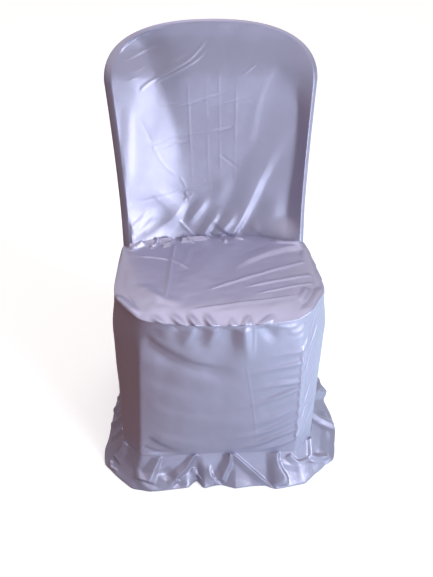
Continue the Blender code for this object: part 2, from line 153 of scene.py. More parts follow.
def foldField(p, q, folds):
    # Height of a set of folds over a flat field. Each fold follows a curve. With r the distance from the
    # curve in flank widths, its height is that of a tent, 1 - r, whose top and feet are rounded.
    total = np.zeros(np.broadcast(p, q).shape)
    for points, height, leftWidth, rightWidth, softness, fadeIn, fadeOut in folds:
        path = smoothPath(points) / metre
        widest = max(np.max(leftWidth), np.max(rightWidth)) / metre
        reach = foldShape["reach"] * widest * (1.0 + softness)
        low, high = path.min(axis=0) - reach, path.max(axis=0) + reach
        near = (p > low[0]) & (p < high[0]) & (q > low[1]) & (q < high[1])
        if not near.any():
            continue
        pn, qn = p[near], q[near]
        runs = np.diff(path, axis=0)
        lengths = np.hypot(runs[:, 0], runs[:, 1])
        starts = np.concatenate([[0.0], np.cumsum(lengths)])[:-1]
        best = np.full(pn.shape, 1e9)
        side, share = np.zeros(pn.shape), np.zeros(pn.shape)
        for (x0, y0), (dx, dy), length, start in zip(path[:-1], runs, lengths, starts):
            along = np.clip(((pn - x0) * dx + (qn - y0) * dy) / length ** 2, 0.0, 1.0)
            awayX, awayY = pn - x0 - along * dx, qn - y0 - along * dy
            away = np.hypot(awayX, awayY)
            nearer = away < best
            best = np.where(nearer, away, best)
            side = np.where(nearer, dx * awayY - dy * awayX, side)
            share = np.where(nearer, start + along * length, share)
        share = share / lengths.sum()
        r = best / np.where(side > 0, alongFold(leftWidth, share), alongFold(rightWidth, share))
        r = np.sqrt(r * r + softness ** 2) - softness
        foot = foldShape["foot"] + foldShape["softFoot"] * softness
        bump = (np.sqrt((1.0 - r) ** 2 + foot ** 2) + 1.0 - r) / (math.sqrt(1.0 + foot ** 2) + 1.0)
        bump = bump * ease((foldShape["end"] + softness - r) / (foldShape["endOver"] + softness))
        ends = ease(share / max(fadeIn, 1e-6)) * ease((1.0 - share) / max(fadeOut, 1e-6))
        total[near] += alongFold(height, share) * bump * ends
    return total


def softNoise(p, q, size, seed, octaves=3):
    # Smooth random waves: a sum of sines in seeded directions, -1 to 1, finer in each octave.
    random = np.random.default_rng(seed)
    total = np.zeros(np.broadcast(p, q).shape)
    weight = 0.0
    for octave in range(octaves):
        strength = noiseWaves["weaker"] ** octave
        for _ in range(noiseWaves["count"]):
            angle, phase = random.uniform(0, 2 * math.pi, 2)
            wave = size * random.uniform(*noiseWaves["spread"]) / noiseWaves["finer"] ** octave
            total = total + strength * np.sin(
                2 * math.pi / wave * (p * math.cos(angle) + q * math.sin(angle)) + phase)
        weight += strength * noiseWaves["count"] ** 0.5
    return total / weight


def unevenness(p, q, panel):
    # A panel's own soft unevenness, from its height, size and seed.
    height, size, seed = panel["unevenness"]
    return height * softNoise(p, q, size, seed)


def softHat(t, softness):
    # A tent of height 1 on -1..1 with rounded corners.
    def bend(s):
        return np.sqrt(s * s + softness * softness)
    return 0.5 * (bend(t - 1.0) + bend(t + 1.0)) - bend(t)


def roundChair(place, drop, crisp=0.0):
    # Plan of the skirt at a place round the chair: a polygon with soft corners, mixed from the seat's to
    # the foot's by drop, and softest at the front's middle. A crisp skirt has sharp corners below the seat.
    place, drop = np.broadcast_arrays(np.asarray(place, float), np.asarray(drop, float))
    soft = cornerSoftness
    toRear = np.minimum(np.minimum(place, abs(place - rearRight)), wholeTurn - place)
    rear = np.exp(-(toRear / soft["reach"]) ** 2)
    middle = np.exp(-((place - frontMiddle) / soft["reach"]) ** 2)
    sharpness = mix(drop, ease(drop / soft["crispOver"]), crisp)
    foot = mix(soft["foot"], soft["crispFoot"], crisp)
    softness = mix(mix(soft["seat"], foot, sharpness), mix(soft["rearSeat"], soft["rearFoot"], drop), rear)
    softness = mix(softness, soft["frontMiddle"], middle)
    x, y = np.zeros(place.shape), np.zeros(place.shape)
    for turn in (-wholeTurn, 0.0, wholeTurn):
        for number, (_, seatX, seatY, footX, footY) in enumerate(roundPlaces):
            share = softHat(place - number - turn, softness)
            x = x + share * mix(seatX, footX, drop)
            y = y + share * mix(seatY, footY, drop)
    return x, y


def fromRear(place):
    # Places from the nearer rear edge of the skirt.
    return np.minimum(place, rearRight - place)


def spine(z):
    # Depth of the rim's front, were the rim round: a + b h + c h2, h the height over the seat, and a small
    # lean more above the shoulder.
    rise = z - seatZ
    lean = chair["topLean"] * easeFrom(z, shoulderZ, chair["topLeanOver"])
    return chair["footY"] + chair["recline"] * rise + chair["reclineBend"] * rise * rise + lean


def rimRadius(z):
    # The rim swells from its foot's radius to its full one just above the seat.
    return mix(chair["rimRadiusAtFoot"], chair["rimRadius"], easeFrom(z, seatZ, chair["rimSwellsOver"]))


def halfWidth(z):
    # Half the backrest's width: its sides flare from the foot to the shoulder, as the height to a power.
    rise = np.clip((z - seatZ) / (shoulderZ - seatZ), 0.0, 1.0)
    return mix(chair["footHalfWidth"], chair["shoulderHalfWidth"], rise ** chair["flare"])


def crestInset(x, z, front):
    # How far the front or the rear crest lies in from the outline, at the sides and at the top.
    left, right, top = chair["crestInset"]
    return (np.where(x < 0, left, right), top) if front else (rimRadius(z), chair["rimRadius"])


def crestShrink(x, z, front):
    # Moves a point of the outer outline in to the rim's front or rear crest.
    side, top = crestInset(x, z, front)
    above = shoulderZ + (z - shoulderZ) * (1.0 - top / (topZ - shoulderZ))
    return x * (1.0 - side / halfWidth(z)), np.where(z > shoulderZ, above, z)


def crestNorm(x, z, front=True):
    # The two terms of the crest's superellipse, across and above. The half width is averaged over a short
    # height, so that the flared sides turn gently into the round top.
    side, top = crestInset(x, z, front)
    shifts = np.linspace(-chair["evenOver"], chair["evenOver"], 9)
    even = sum(halfWidth(z + shift) for shift in shifts) / len(shifts)
    across = np.abs(x) / (np.minimum(even, halfWidth(z)) - side)
    above = np.clip(z - shoulderZ, 0.0, None) / (topZ - shoulderZ - top)
    return across ** chair["roundness"], above ** chair["roundness"]


def nearness(x, z, front=True):
    # 0 on the backrest's middle line, 1 on its rim's crest: the superellipse's norm.
    across, above = crestNorm(x, z, front)
    return (across + above) ** (1.0 / chair["roundness"])


def crestDepth(x, z):
    # Depth of the rim's front crest, carried over the whole panel: it stands further forward on the left.
    left, right, top = chair["crestRise"]
    sides = mix(left, right, ease(0.5 + x / chair["crestChangeOver"]))
    return spine(z) + rimRadius(z) - mix(sides, top, easeFrom(z, shoulderZ, chair["topLeanOver"]))


def backOutline(t):
    # Outer outline of the backrest: straight flared sides and a superellipse top, t = 0 to 1 by length.
    power = 2 / chair["roundness"]
    angle = np.radians(np.linspace(0.0, 90.0, 2 * outlineSteps))
    sideZ = np.linspace(seatZ, shoulderZ, outlineSteps)[:-1]
    z = np.concatenate([sideZ, shoulderZ + (topZ - shoulderZ) * np.sin(angle) ** power])
    x = np.concatenate([halfWidth(sideZ), chair["shoulderHalfWidth"] * np.cos(angle).clip(0) ** power])
    x, z = np.concatenate([-x, x[-2::-1]]), np.concatenate([z, z[-2::-1]])
    length = np.concatenate([[0.0], np.cumsum(np.hypot(np.diff(x), np.diff(z)))])
    return np.interp(t, length / length[-1], x), np.interp(t, length / length[-1], z)


def coons(low, high, left, right, a, b):
    # Fills four edge curves: the two ruled surfaces less the bilinear one of the corners.
    a, b = a[..., None], b[..., None]
    zero, one = np.zeros(1), np.ones(1)
    flat = ((1 - a) * (1 - b) * low(zero) + a * (1 - b) * low(one)
            + (1 - a) * b * high(zero) + a * b * high(one))
    return ((1 - b) * low(a[..., 0]) + b * high(a[..., 0])
            + (1 - a) * left(b[..., 0]) + a * right(b[..., 0]) - flat)


def backPlan(a, b, front):
    # x and z on the backrest inside its crest, a across and b up.
    def edge(t):
        return pair(*crestShrink(*backOutline(t), front))

    def foot(s):
        return pair(mix(edge(np.zeros(1))[0, 0], edge(np.ones(1))[0, 0], s), np.full(s.shape, seatZ))

    corner = chair["corner"]
    filled = coons(foot, lambda s: edge(mix(corner, 1 - corner, s)),
                   lambda s: edge(corner * s), lambda s: edge(1 - corner * s), a, b)
    return filled[..., 0], filled[..., 1]


def rimSurface(t, turn):
    # The rim along the outline: turn in degrees from its front crest. Its front quarter leaves the crest at
    # an angle, y = sin(turn / 2), and its rear half is round, y = 1 - cos(turn).
    outerX, outerZ = backOutline(t)
    front = turn <= 90.0
    frontX, frontZ = crestShrink(outerX, outerZ, True)
    rearX, rearZ = crestShrink(outerX, outerZ, False)
    out = np.sin(np.radians(turn))
    x = mix(np.where(front, frontX, rearX), outerX, out)
    z = mix(np.where(front, frontZ, rearZ), outerZ, out)
    radius = rimRadius(z)
    half = np.sin(0.5 * np.radians(turn)) / np.sin(0.25 * np.pi)
    frontY = mix(crestDepth(x, z), spine(z) + radius, half)
    y = np.where(front, frontY, spine(z) + radius * (1.0 - np.cos(np.radians(turn))))
    folded = np.radians(np.minimum(np.minimum(turn, 180.0 - turn), 90.0))
    sag = (seatZ - seamZ) * (1.0 - np.cos(folded))
    return x, y, z - sag * (1.0 - easeFrom(z, seatZ, chair["rimSagOver"]))


def outward(x, y):
    # Unit direction away from a box inside the chair's plan.
    awayX = x - np.clip(x, -chair["coreHalfWidth"], chair["coreHalfWidth"])
    awayY = y - np.clip(y, chair["coreFront"], chair["coreRear"])
    size = np.hypot(awayX, awayY)
    return awayX / size, awayY / size


def pushOut(x, y, z, push):
    # Points moved away from the chair's middle.
    outX, outY = outward(x, y)
    return stack(x + push * outX, y + push * outY, z)


weldDistance = 0.00002                       # metres; the patches of a sheet meet point for point
rimCloth = (2.2, 0.02)                       # metres of cloth along the rim and round it, for the weave


def grid(countA, countB):
    # Two parameters from 0 to 1 on an even grid.
    return np.meshgrid(np.linspace(0.0, 1.0, countA + 1), np.linspace(0.0, 1.0, countB + 1), indexing="ij")


def alongBorder(s, side, front, values):
    # A parameter along three sides of a patch, so that a band round it has the patch's own cells.
    share = side / (2 * side + front)
    return np.interp(s, [0, share, 1 - share, 1], values)


def rimBand(across, up, roll, turns, flipped):
    # The rim as a band round a panel, between two turns from its front crest.
    s, k = grid(2 * up + across, roll)
    t = alongBorder(s, up, across, (0, chair["corner"], 1 - chair["corner"], 1))
    length, width = rimCloth
    return stack(*rimSurface(t, mix(*turns, k))), pair(length * t, width * k), flipped


def addObject(name, data):
    # A new object in the scene, at the origin.
    item = bpy.data.objects.new(name, data)
    bpy.context.scene.collection.objects.link(item)
    return item


def panelMesh(name, patches, material):
    # Welds grids of points into one sheet. A patch is (points, uv, flipped), points shaped (m, n, 3).
    verts, faces, uvs = [], [], []
    first = 0
    for points, uv, flipped in patches:
        m, n = points.shape[:2]
        index = np.arange(m * n).reshape(m, n) + first
        quads = np.stack([index[:-1, :-1], index[1:, :-1], index[1:, 1:], index[:-1, 1:]], axis=-1)
        quads = quads.reshape(-1, 4)
        faces.append(quads[:, ::-1] if flipped else quads)
        verts.append(points.reshape(-1, 3))
        uvs.append(uv.reshape(-1, 2))
        first += m * n
    verts, faces, uvs = np.vstack(verts), np.vstack(faces), np.vstack(uvs)
    mesh = bpy.data.meshes.new(name)
    mesh.vertices.add(len(verts))
    mesh.vertices.foreach_set("co", verts.astype(np.float32).ravel())
    mesh.loops.add(faces.size)
    mesh.loops.foreach_set("vertex_index", faces.astype(np.int32).ravel())
    mesh.polygons.add(len(faces))
    mesh.polygons.foreach_set("loop_start", np.arange(0, faces.size, 4, dtype=np.int32))
    mesh.uv_layers.new(name="cloth").uv.foreach_set("vector", uvs[faces].astype(np.float32).ravel())
    mesh.update(calc_edges=True)
    joined = bmesh.new()
    joined.from_mesh(mesh)
    bmesh.ops.remove_doubles(joined, verts=joined.verts, dist=weldDistance)
    joined.to_mesh(mesh)
    joined.free()
    mesh.shade_smooth()
    mesh.materials.append(material)
    return addObject(name, mesh)


# Inside back: the front of the backrest, over a shallow bowl with a steeper wall on each side.
insideBack = {
    "cells": (280, 310, 10),                 # across, up, round the rim
    "creaseHeight": 0.75,
    "unevenness": (0.0003, 0.12, 3),         # height, size and seed, as for the other panels
    "slatHeight": 0.00018, "slatWidth": 0.0029, "slatFades": (0.04, 0.05),   # fades at its foot and its top
    "footOver": 0.05, "wallsMeetOver": 0.10, "fadeAtFoot": 0.010, "fadeAtRim": 0.03,
}
leftWall = {
    "share": 0.84,                           # part of the bowl's depth that the wall takes
    "softness": (0.13, 0.05), "softnessChanges": (0.52, 0.14),   # at its start: below and above a height
    "fades": (0.82, 0.05),                   # height from which a plain dome takes over, and how fast
    "blur": 0.010,
    "starts": ((0.430, 0.92), (0.440, 0.86), (0.453, 0.76), (0.468, 0.66), (0.487, 0.58), (0.506, 0.50),
               (0.530, 0.40), (0.567, 0.366), (0.652, 0.385), (0.694, 0.435), (0.732, 0.483), (0.755, 0.534),
               (0.772, 0.59), (0.785, 0.63), (0.800, 0.69), (0.820, 0.78), (0.844, 0.85)),
}
rightWall = {
    "share": 0.72, "softness": (0.010, 0.16), "softnessChanges": (0.70, 0.09), "fades": (0.76, 0.07),
    "blur": 0.008,
    "starts": ((0.435, 0.847), (0.482, 0.868), (0.525, 0.880), (0.569, 0.905), (0.611, 0.911), (0.652, 0.912),
               (0.693, 0.894), (0.734, 0.855), (0.754, 0.804), (0.775, 0.726), (0.800, 0.60)),
}
bowlDepths = ((0.420, 0.040), (0.500, 0.040), (0.600, 0.039), (0.690, 0.034), (0.760, 0.0225),
              (0.820, 0.0147), (0.850, 0.0126), (0.880, 0.0110))
backFolds = (  # curve in x and z, as the other tables of the back
    # the long pull up to the right, and its faint end
    (((36, 418), (59, 450), (80, 485), (96, 516), (109, 544), (122, 567), (148, 621), (170, 672)),
     (6.2, 1.6), (48, 36), (10, 18), 0.25, 0.04, 0.7),
    # the broad pull from the left corner up to a small knot
    (((-196, 432), (-160, 440), (-128, 452), (-98, 468), (-77, 490), (-60, 513)),
     (4.5, 7.8), (40, 60), (30, 12), 0.3, 0.04, 0.32),
    (((-192, 462), (-176, 468), (-160, 480), (-146, 500)), 1.5, 7, 9, 0.3, 0.1, 0.6),
    (((-190, 450), (-164, 462), (-146, 478), (-134, 500)), 1.6, 7, 8, 0.3, 0.1, 0.6),
    (((-64, 452), (-40, 474), (-22, 494), (-5, 519)), 3.4, 16, 9, 0.3, 0.3, 0.6),
    (((-27, 420), (-12, 443), (4, 464), (20, 492)), 4.4, 14, 9, 0.3, 0.02, 0.7),
    (((4, 420), (29, 446), (42, 460), (58, 486)), 4.2, 14, 9, 0.3, 0.02, 0.7),
    (((-2, 480), (20, 520), (38, 560)), 1.6, 18, 16, 0.6, 0.3, 0.4),
    (((110, 420), (140, 470), (156, 530)), 3, 24, 22, 0.6, 0.1, 0.5),
    (((78, 420), (94, 434), (112, 458)), 2.6, 10, 10, 0.4, 0.02, 0.6),
    # a faint long panel at the right, a little proud of the rest
    (((170, 785), (150, 770), (130, 735), (116, 690), (106, 640), (102, 590)), -0.5, 30, 12, 0.3, 0.1, 0.3),
    # the left wall's brighter middle
    (((-142, 620), (-132, 680), (-122, 730), (-124, 770), (-138, 805), (-158, 840), (-170, 856)),
     (0, -6.6), 36, 40, 0.3, 0.1, 0.06),
)
backKnot = (  # the small crumple at the top of the left pull
    (((-66, 522), (-58, 512), (-53, 504)), 0.6, 5, 4, 0.3, 0.3, 0.3),
    (((-60, 506), (-52, 512), (-46, 520)), 0.5, 4, 5, 0.3, 0.3, 0.3),
    (((-68, 500), (-62, 508), (-60, 516)), 0.5, 4, 3, 0.3, 0.3, 0.3),
    (((-80, 462), (-72, 452), (-58, 438), (-42, 424)), 0.8, 3, 4, 0.3, 0.1, 0.5),
)
backCreases = (  # from folding and storage, and thin pulls
    (((-150, 848), (-135, 856), (-113, 863)), 1.2, 4, 3, 0.3, 0.1, 0.6),
    (((-203, 796), (-176, 806), (-146, 817), (-122, 826)), 1, 3.5, 3, 0.3, 0.5, 0.08),
    (((-160, 740), (-144, 752), (-113, 767), (-81, 783), (-45, 802), (-14, 830), (8, 842)),
     (1.5, 0.8), 4, 3, 0.3, 0.05, 0.3),
    (((-130, 752), (-100, 766), (-68, 780), (-33, 798), (0, 824)), 0.8, 3, 3, 0.3, 0.1, 0.3),
    (((-100, 784), (-67, 806), (-46, 820)), 0.6, 3, 3, 0.3, 0.2, 0.5),
    (((-174, 778), (-160, 782), (-145, 790)), 0.6, 3, 3, 0.3, 0.4, 0.3),
    (((-185, 762), (-161, 770)), 0.5, 3, 3, 0.3, 0.4, 0.3),
    (((-110, 699), (-61, 706), (-15, 718), (30, 731), (60, 744)), -0.4, 3, 3, 0.3, 0.1, 0.3),
    (((-130, 704), (-110, 706), (-60, 712)), -0.4, 3, 3, 0.3, 0.3, 0.3),
    (((-10, 704), (30, 708), (98, 722)), -0.4, 3, 3, 0.3, 0.3, 0.3),
    (((-158, 622), (-136, 630), (-72, 642), (6, 650), (50, 658)), -0.4, 3, 4, 0.3, 0.2, 0.1),
    (((-154, 610), (-120, 620), (-72, 627), (-40, 631)), -0.6, 3, 3, 0.3, 0.3, 0.3),
    (((0, 648), (30, 652), (50, 659)), -0.5, 3, 5, 0.3, 0.3, 0.1),
    (((-180, 513), (-135, 516), (-90, 521), (-60, 527), (-19, 536), (8, 541)), -0.5, 4, 4, 0.3, 0.2, 0.2),
    (((-166, 690), (-150, 662), (-136, 632)), -0.3, 4, 3, 0.3, 0.3, 0.1),
    (((-136, 632), (-124, 606), (-105, 578), (-76, 554)), 0.3, 3, 4, 0.3, 0.1, 0.2),
    (((-76, 556), (-66, 540), (-62, 526)), 0.4, 3, 3, 0.3, 0.1, 0.3),
    (((66, 763), (86, 778), (101, 788), (115, 780), (129, 771)), 0.4, 2.5, 2.5, 0.3, 0.3, 0.3),
    (((10, 606), (40, 584), (65, 564)), -0.5, 3, 3, 0.3, 0.4, 0.3),
    (((-194, 540), (-188, 640), (-184, 730)), 1.4, 12, 10, 0.5, 0.3, 0.3),
)
backSlats = (  # the chair's slats show faintly through: x at two heights
    ((-0.054, 0.78), (-0.047, 0.53)), ((-0.013, 0.80), (-0.009, 0.53)), ((0.017, 0.80), (0.018, 0.53)),
    ((0.058, 0.80), (0.050, 0.53)),
)


def ramp(n, start, soft):
    # 0 before a start, then a straight rise to 1 at n = 1, with a soft corner.
    def bend(t):
        return 0.5 * (np.sqrt(t * t + soft * soft) + t)
    return bend(n - start) / bend(1.0 - start)


def wallShape(near, z, beside, wall):
    # Depth towards one side, 1 to 0: a parabola 1 - n2, of which the wall takes its share as a ramp.
    softness = mix(*wall["softness"], easeFrom(z, *wall["softnessChanges"]))
    steep = ramp(near, smoothTable(z, wall["starts"], wall["blur"]), softness)
    shape = 1.0 - (1 - wall["share"]) * near ** 2 - wall["share"] * steep
    return mix(1.0 - near ** 2, shape, beside * (1.0 - easeFrom(z, *wall["fades"])))


def bowlDepth(x, z):
    # How far the panel lies behind the rim's crest: flat in the middle, with a long gentle wall on the
    # left and a short steep one on the right, a plain dome at the top and a shallow bowl at the foot.
    near = np.clip(nearness(x, z), 0.0, 1.0)
    across, over = crestNorm(x, z)
    beside = ease(across / (across + over + 1e-9))
    bowl = (1.0 - near ** 2) ** 2 * (1.0 + 2.0 * near ** 2)
    above = easeFrom(z, seatZ, insideBack["footOver"])
    left, right = (mix(bowl, wallShape(near, z, beside, wall), above) for wall in (leftWall, rightWall))
    return smoothTable(z, bowlDepths) * mix(left, right, ease(0.5 + x / insideBack["wallsMeetOver"]))


def backRelief(x, z):
    # Folds that rise from the seat, creases, the slats' faint edges and a light unevenness.
    relief = foldField(x, z, backFolds + backKnot) * easeFrom(z, seatZ, insideBack["fadeAtFoot"])
    relief = relief + insideBack["creaseHeight"] * foldField(x, z, backCreases)
    foot, top = insideBack["slatFades"]
    for (highX, highZ), (lowX, lowZ) in backSlats:
        slatX = mix(lowX, highX, (z - lowZ) / (highZ - lowZ))
        between = ease((z - lowZ) / foot) * ease((highZ - z) / top)
        uneven = 0.8 + 0.5 * softNoise(x, z, 0.10, 31, 2)
        edge = np.exp(-((x - slatX) / insideBack["slatWidth"]) ** 2)
        relief = relief + insideBack["slatHeight"] * between * uneven * edge
    relief = relief + unevenness(x, z, insideBack)
    return relief * ease((1.0 - nearness(x, z)) / insideBack["fadeAtRim"])


def makeInsideBack(material):
    # The bowl less its relief, from the crest inwards, and the rim from its crest to the seam.
    across, up, roll = insideBack["cells"]
    x, z = backPlan(*grid(across, up), True)
    face = stack(x, crestDepth(x, z) + bowlDepth(x, z) - backRelief(x, z), z)
    band = rimBand(across, up, roll, (0.0, chair["seamTurn"]), False)
    return panelMesh("insideBack", [(face, pair(x, z), False), band], material)


# Outside back: the rear panel, from the rim down to the frill.
outsideBack = {
    "cells": (150, 180, 4, 130),             # across, up, round the rim, down to the frill
    "bendReach": 0.09, "bendCells": 12,      # how far the bend's rounding is felt, and how wide it is
    "bendSides": 0.16,                       # part of the width at each side where it fades
    "wall": 0.40, "wallFades": (-0.03, 0.12),   # part of the depth in its wall; from the shoulder, over
    "bowlPower": 3, "wallPower": 12,
    "unevenness": (0.0012, 0.16, 11),
    "fadeAtRim": 0.10, "fadeAtSides": 0.06, "fadeAtFoot": 0.05, "sidesFrom": 0.1,
}
rearFolds = (  # soft pulls across the bend at the seat and down the lower part, and two creases
    (((-205, 455), (-110, 430), (0, 420)), 3.5, 12, 20, 0.8, 0.1, 0.5),
    (((205, 462), (120, 438), (30, 424)), 3.5, 12, 20, 0.8, 0.1, 0.5),
    (((-200, 500), (-120, 486), (-40, 482)), 2.5, 12, 16, 0.8, 0.1, 0.5),
    (((203, 520), (130, 500), (60, 492)), 2.5, 12, 16, 0.8, 0.1, 0.5),
    (((-195, 390), (-120, 300), (-60, 180)), 4, 20, 14, 0.9, 0.1, 0.5),
    (((195, 385), (130, 270), (90, 120)), 4, 16, 20, 0.9, 0.1, 0.5),
    (((-30, 400), (-20, 260), (-35, 90)), 2.5, 14, 18, 0.9, 0.3, 0.3),
    (((50, 380), (46, 240), (55, 90)), 2, 12, 16, 0.9, 0.3, 0.3),
    (((-160, 705), (-60, 722), (40, 741)), 1.2, 3, 3, 0.3, 0.2, 0.2),
    (((-50, 604), (70, 622), (170, 640)), 1.2, 3, 3, 0.3, 0.2, 0.2),
)


def rearBridge(across, z):
    # The cloth bridges the bend at the seat: (1 - n2)2 across, and a bell curve in height.
    high = np.exp(-((z - seatZ) / chair["rearBridgeReach"]) ** 2)
    return chair["rearBridge"] * (1 - across ** 2) ** 2 * high


def rearDepth(x, z):
    # Follows the chair's bowl at a distance, 1 - n to a power with a steeper wall at the rim, and bridges
    # the bend at the seat.
    near = np.clip(nearness(x, z, False), 0.0, 1.0)
    radius = rimRadius(z)
    depth = mix(chair["hollow"], chair["rearHollowAtTop"], easeFrom(z, seatZ, topZ - seatZ))
    below, over = outsideBack["wallFades"]
    wall = outsideBack["wall"] * (1.0 - easeFrom(z, shoulderZ + below, over))
    bowl = 1.0 - (1.0 - wall) * near ** outsideBack["bowlPower"] - wall * near ** outsideBack["wallPower"]
    bulge = bowl * depth / chair["hollow"] * (chair["hollow"] + chair["rearStandOff"] - 2 * radius)
    return spine(z) + 2 * radius + bulge + rearBridge(near, z)


def lowerRear(a, b, rimCells, across):
    # The rear panel below the seat: a patch between the backrest's foot, the frill and the skirt's rear
    # edges. At each end of the foot a few cells follow the rim's foot, from its seam to its rear crest.
    band = rimCells / (across + 2 * rimCells)
    footX = crestShrink(*backOutline(np.zeros(1)), False)[0][0]

    def upper(s):
        turn = mix(chair["seamTurn"], 180.0, np.clip(fromEnds(s) / band, 0, 1))
        x, y, z = rimSurface(np.where(s < 0.5, 1.0, 0.0), turn)
        panelX = footX * (2 * np.clip((s - band) / (1 - 2 * band), 0, 1) - 1)
        onPanel = (s >= band) & (s <= 1 - band)
        level = np.full(s.shape, seatZ)
        return stack(np.where(onPanel, panelX, x), np.where(onPanel, rearDepth(panelX, level), y),
                     np.where(onPanel, level, z))

    def lower(s):
        return stack(*roundChair(mix(rearRight, wholeTurn, s), 1.0, 1.0), frillZ)

    def edge(place, end):
        def curve(t):
            seam = stack(*roundChair(np.full(t.shape, place), t, 1.0), mix(seamZ, frillZ, t))
            top = stack(*roundChair(place, 0.0, 1.0), seamZ)
            return seam + (upper(np.full(1, end)) - top) * (1 - t)[..., None]
        return curve

    filled = coons(upper, lower, edge(rearRight, 0.0), edge(wholeTurn, 1.0), a, b)
    side = np.clip((2 * a - 1) / (1 - 2 * band), -1, 1)
    filled[..., 1] += rearBridge(side, filled[..., 2]) - rearBridge(side, seatZ) * (1 - b)
    return filled


def softenBend(face, lower, rimCells):
    # Rounds the bend at the seat. The depths of each column of points, from the frill to the top, are
    # averaged with their neighbours' above and below by a Gaussian, most at the bend and not at the sides.
    reach, spread = outsideBack["bendReach"], outsideBack["bendCells"]
    middle = lower[rimCells:-rimCells]
    rows = middle.shape[1] - 1
    depth, level = (np.concatenate([middle[:, ::-1, axis], face[:, 1:, axis]], axis=1) for axis in (1, 2))
    shifts = np.arange(-3 * spread, 3 * spread + 1)
    weights = np.exp(-0.5 * (shifts / spread) ** 2)
    padded = np.pad(depth, ((0, 0), (3 * spread, 3 * spread)), mode="edge")
    count = depth.shape[1]
    blurred = sum(w * padded[:, i:i + count] for i, w in enumerate(weights)) / weights.sum()
    across = np.linspace(0.0, 1.0, depth.shape[0])[:, None]
    inside = ease(fromEnds(across) / outsideBack["bendSides"])
    depth = mix(depth, blurred, inside * np.exp(-((level - seatZ) / reach) ** 2))
    middle[:, ::-1, 1] = depth[:, :rows + 1]
    face[:, :, 1] = depth[:, rows:]


def rearRelief(x, z, inside):
    # The rear's folds and a soft unevenness, where they are inside the seams.
    return (foldField(x, z, rearFolds) + unevenness(x, z, outsideBack)) * inside


def insideRearRim(x, z):
    # 0 at the rim and 1 a little way in from it.
    return ease((1.0 - nearness(x, z, False)) / outsideBack["fadeAtRim"])


def makeOutsideBack(material):
    # The upper panel, the rim behind its seam, and the lower panel, with the bend between them rounded.
    across, up, rimCells, down = outsideBack["cells"]
    x, z = backPlan(*grid(across, up), False)
    face = stack(x, rearDepth(x, z), z)
    band = rimBand(across, up, rimCells, (180.0, chair["seamTurn"]), True)
    a, b = grid(across + 2 * rimCells, down)
    lower = lowerRear(a, b, rimCells, across)
    softenBend(face, lower, rimCells)
    face[..., 1] += rearRelief(x, z, insideRearRim(x, z))
    lowerX, lowerZ = lower[..., 0] - chair["x"], lower[..., 2]
    inside = mix(insideRearRim(lowerX, np.full(lowerX.shape, seatZ)),
                 ease(fromEnds(a) / outsideBack["fadeAtSides"]), ease(b / outsideBack["sidesFrom"]))
    lower[..., 1] += rearRelief(lowerX, lowerZ, inside * ease((1 - b) / outsideBack["fadeAtFoot"]))
    patches = [(face, pair(x, z), True), band, (lower, pair(lowerX, lowerZ), True)]
    return panelMesh("outsideBack", patches, material)


# Seat: the top panel with its rolled edge, puckered where the skirt is sewn on.
seatPanel = {
    "cells": (300, 250, 16),                 # across, front to back, round the edge
    "slopeWidth": 2.8, "slopePower": 2.6,    # of the strip that slopes down to the seam, in roll widths
    "roundShare": 0.10, "roundWidth": 0.0020,   # of the drop at the very edge
    "slopeNarrowsOver": 0.5,                 # places from the rear
    "lip": 0.0006,                           # how far the edge stands out over the seam
    "lipFades": (0.7, 0.12, 0.3),            # over the roll, at the seam and, in places, at the rear
    "unevenness": (0.0006, 0.09, 5),
    "puckersBetween": (2.0, 3.9), "puckersFade": 0.2,   # places of the front's puckers
    "puckersStart": 0.010, "fineUpTo": 0.03,   # distances up from the seam
    "fineHeight": 0.0002, "fineSize": 0.018, "fineStretch": 0.25,
    "placeLength": 0.12,                     # metres that a place counts for in the corners' table
    "foldsStart": 0.01, "unevenStart": 0.05,   # parts of the depth at the rear
    "fadeAtSides": 0.04, "fadeAtFront": 0.06, "fadeAtRear": 0.12,
}
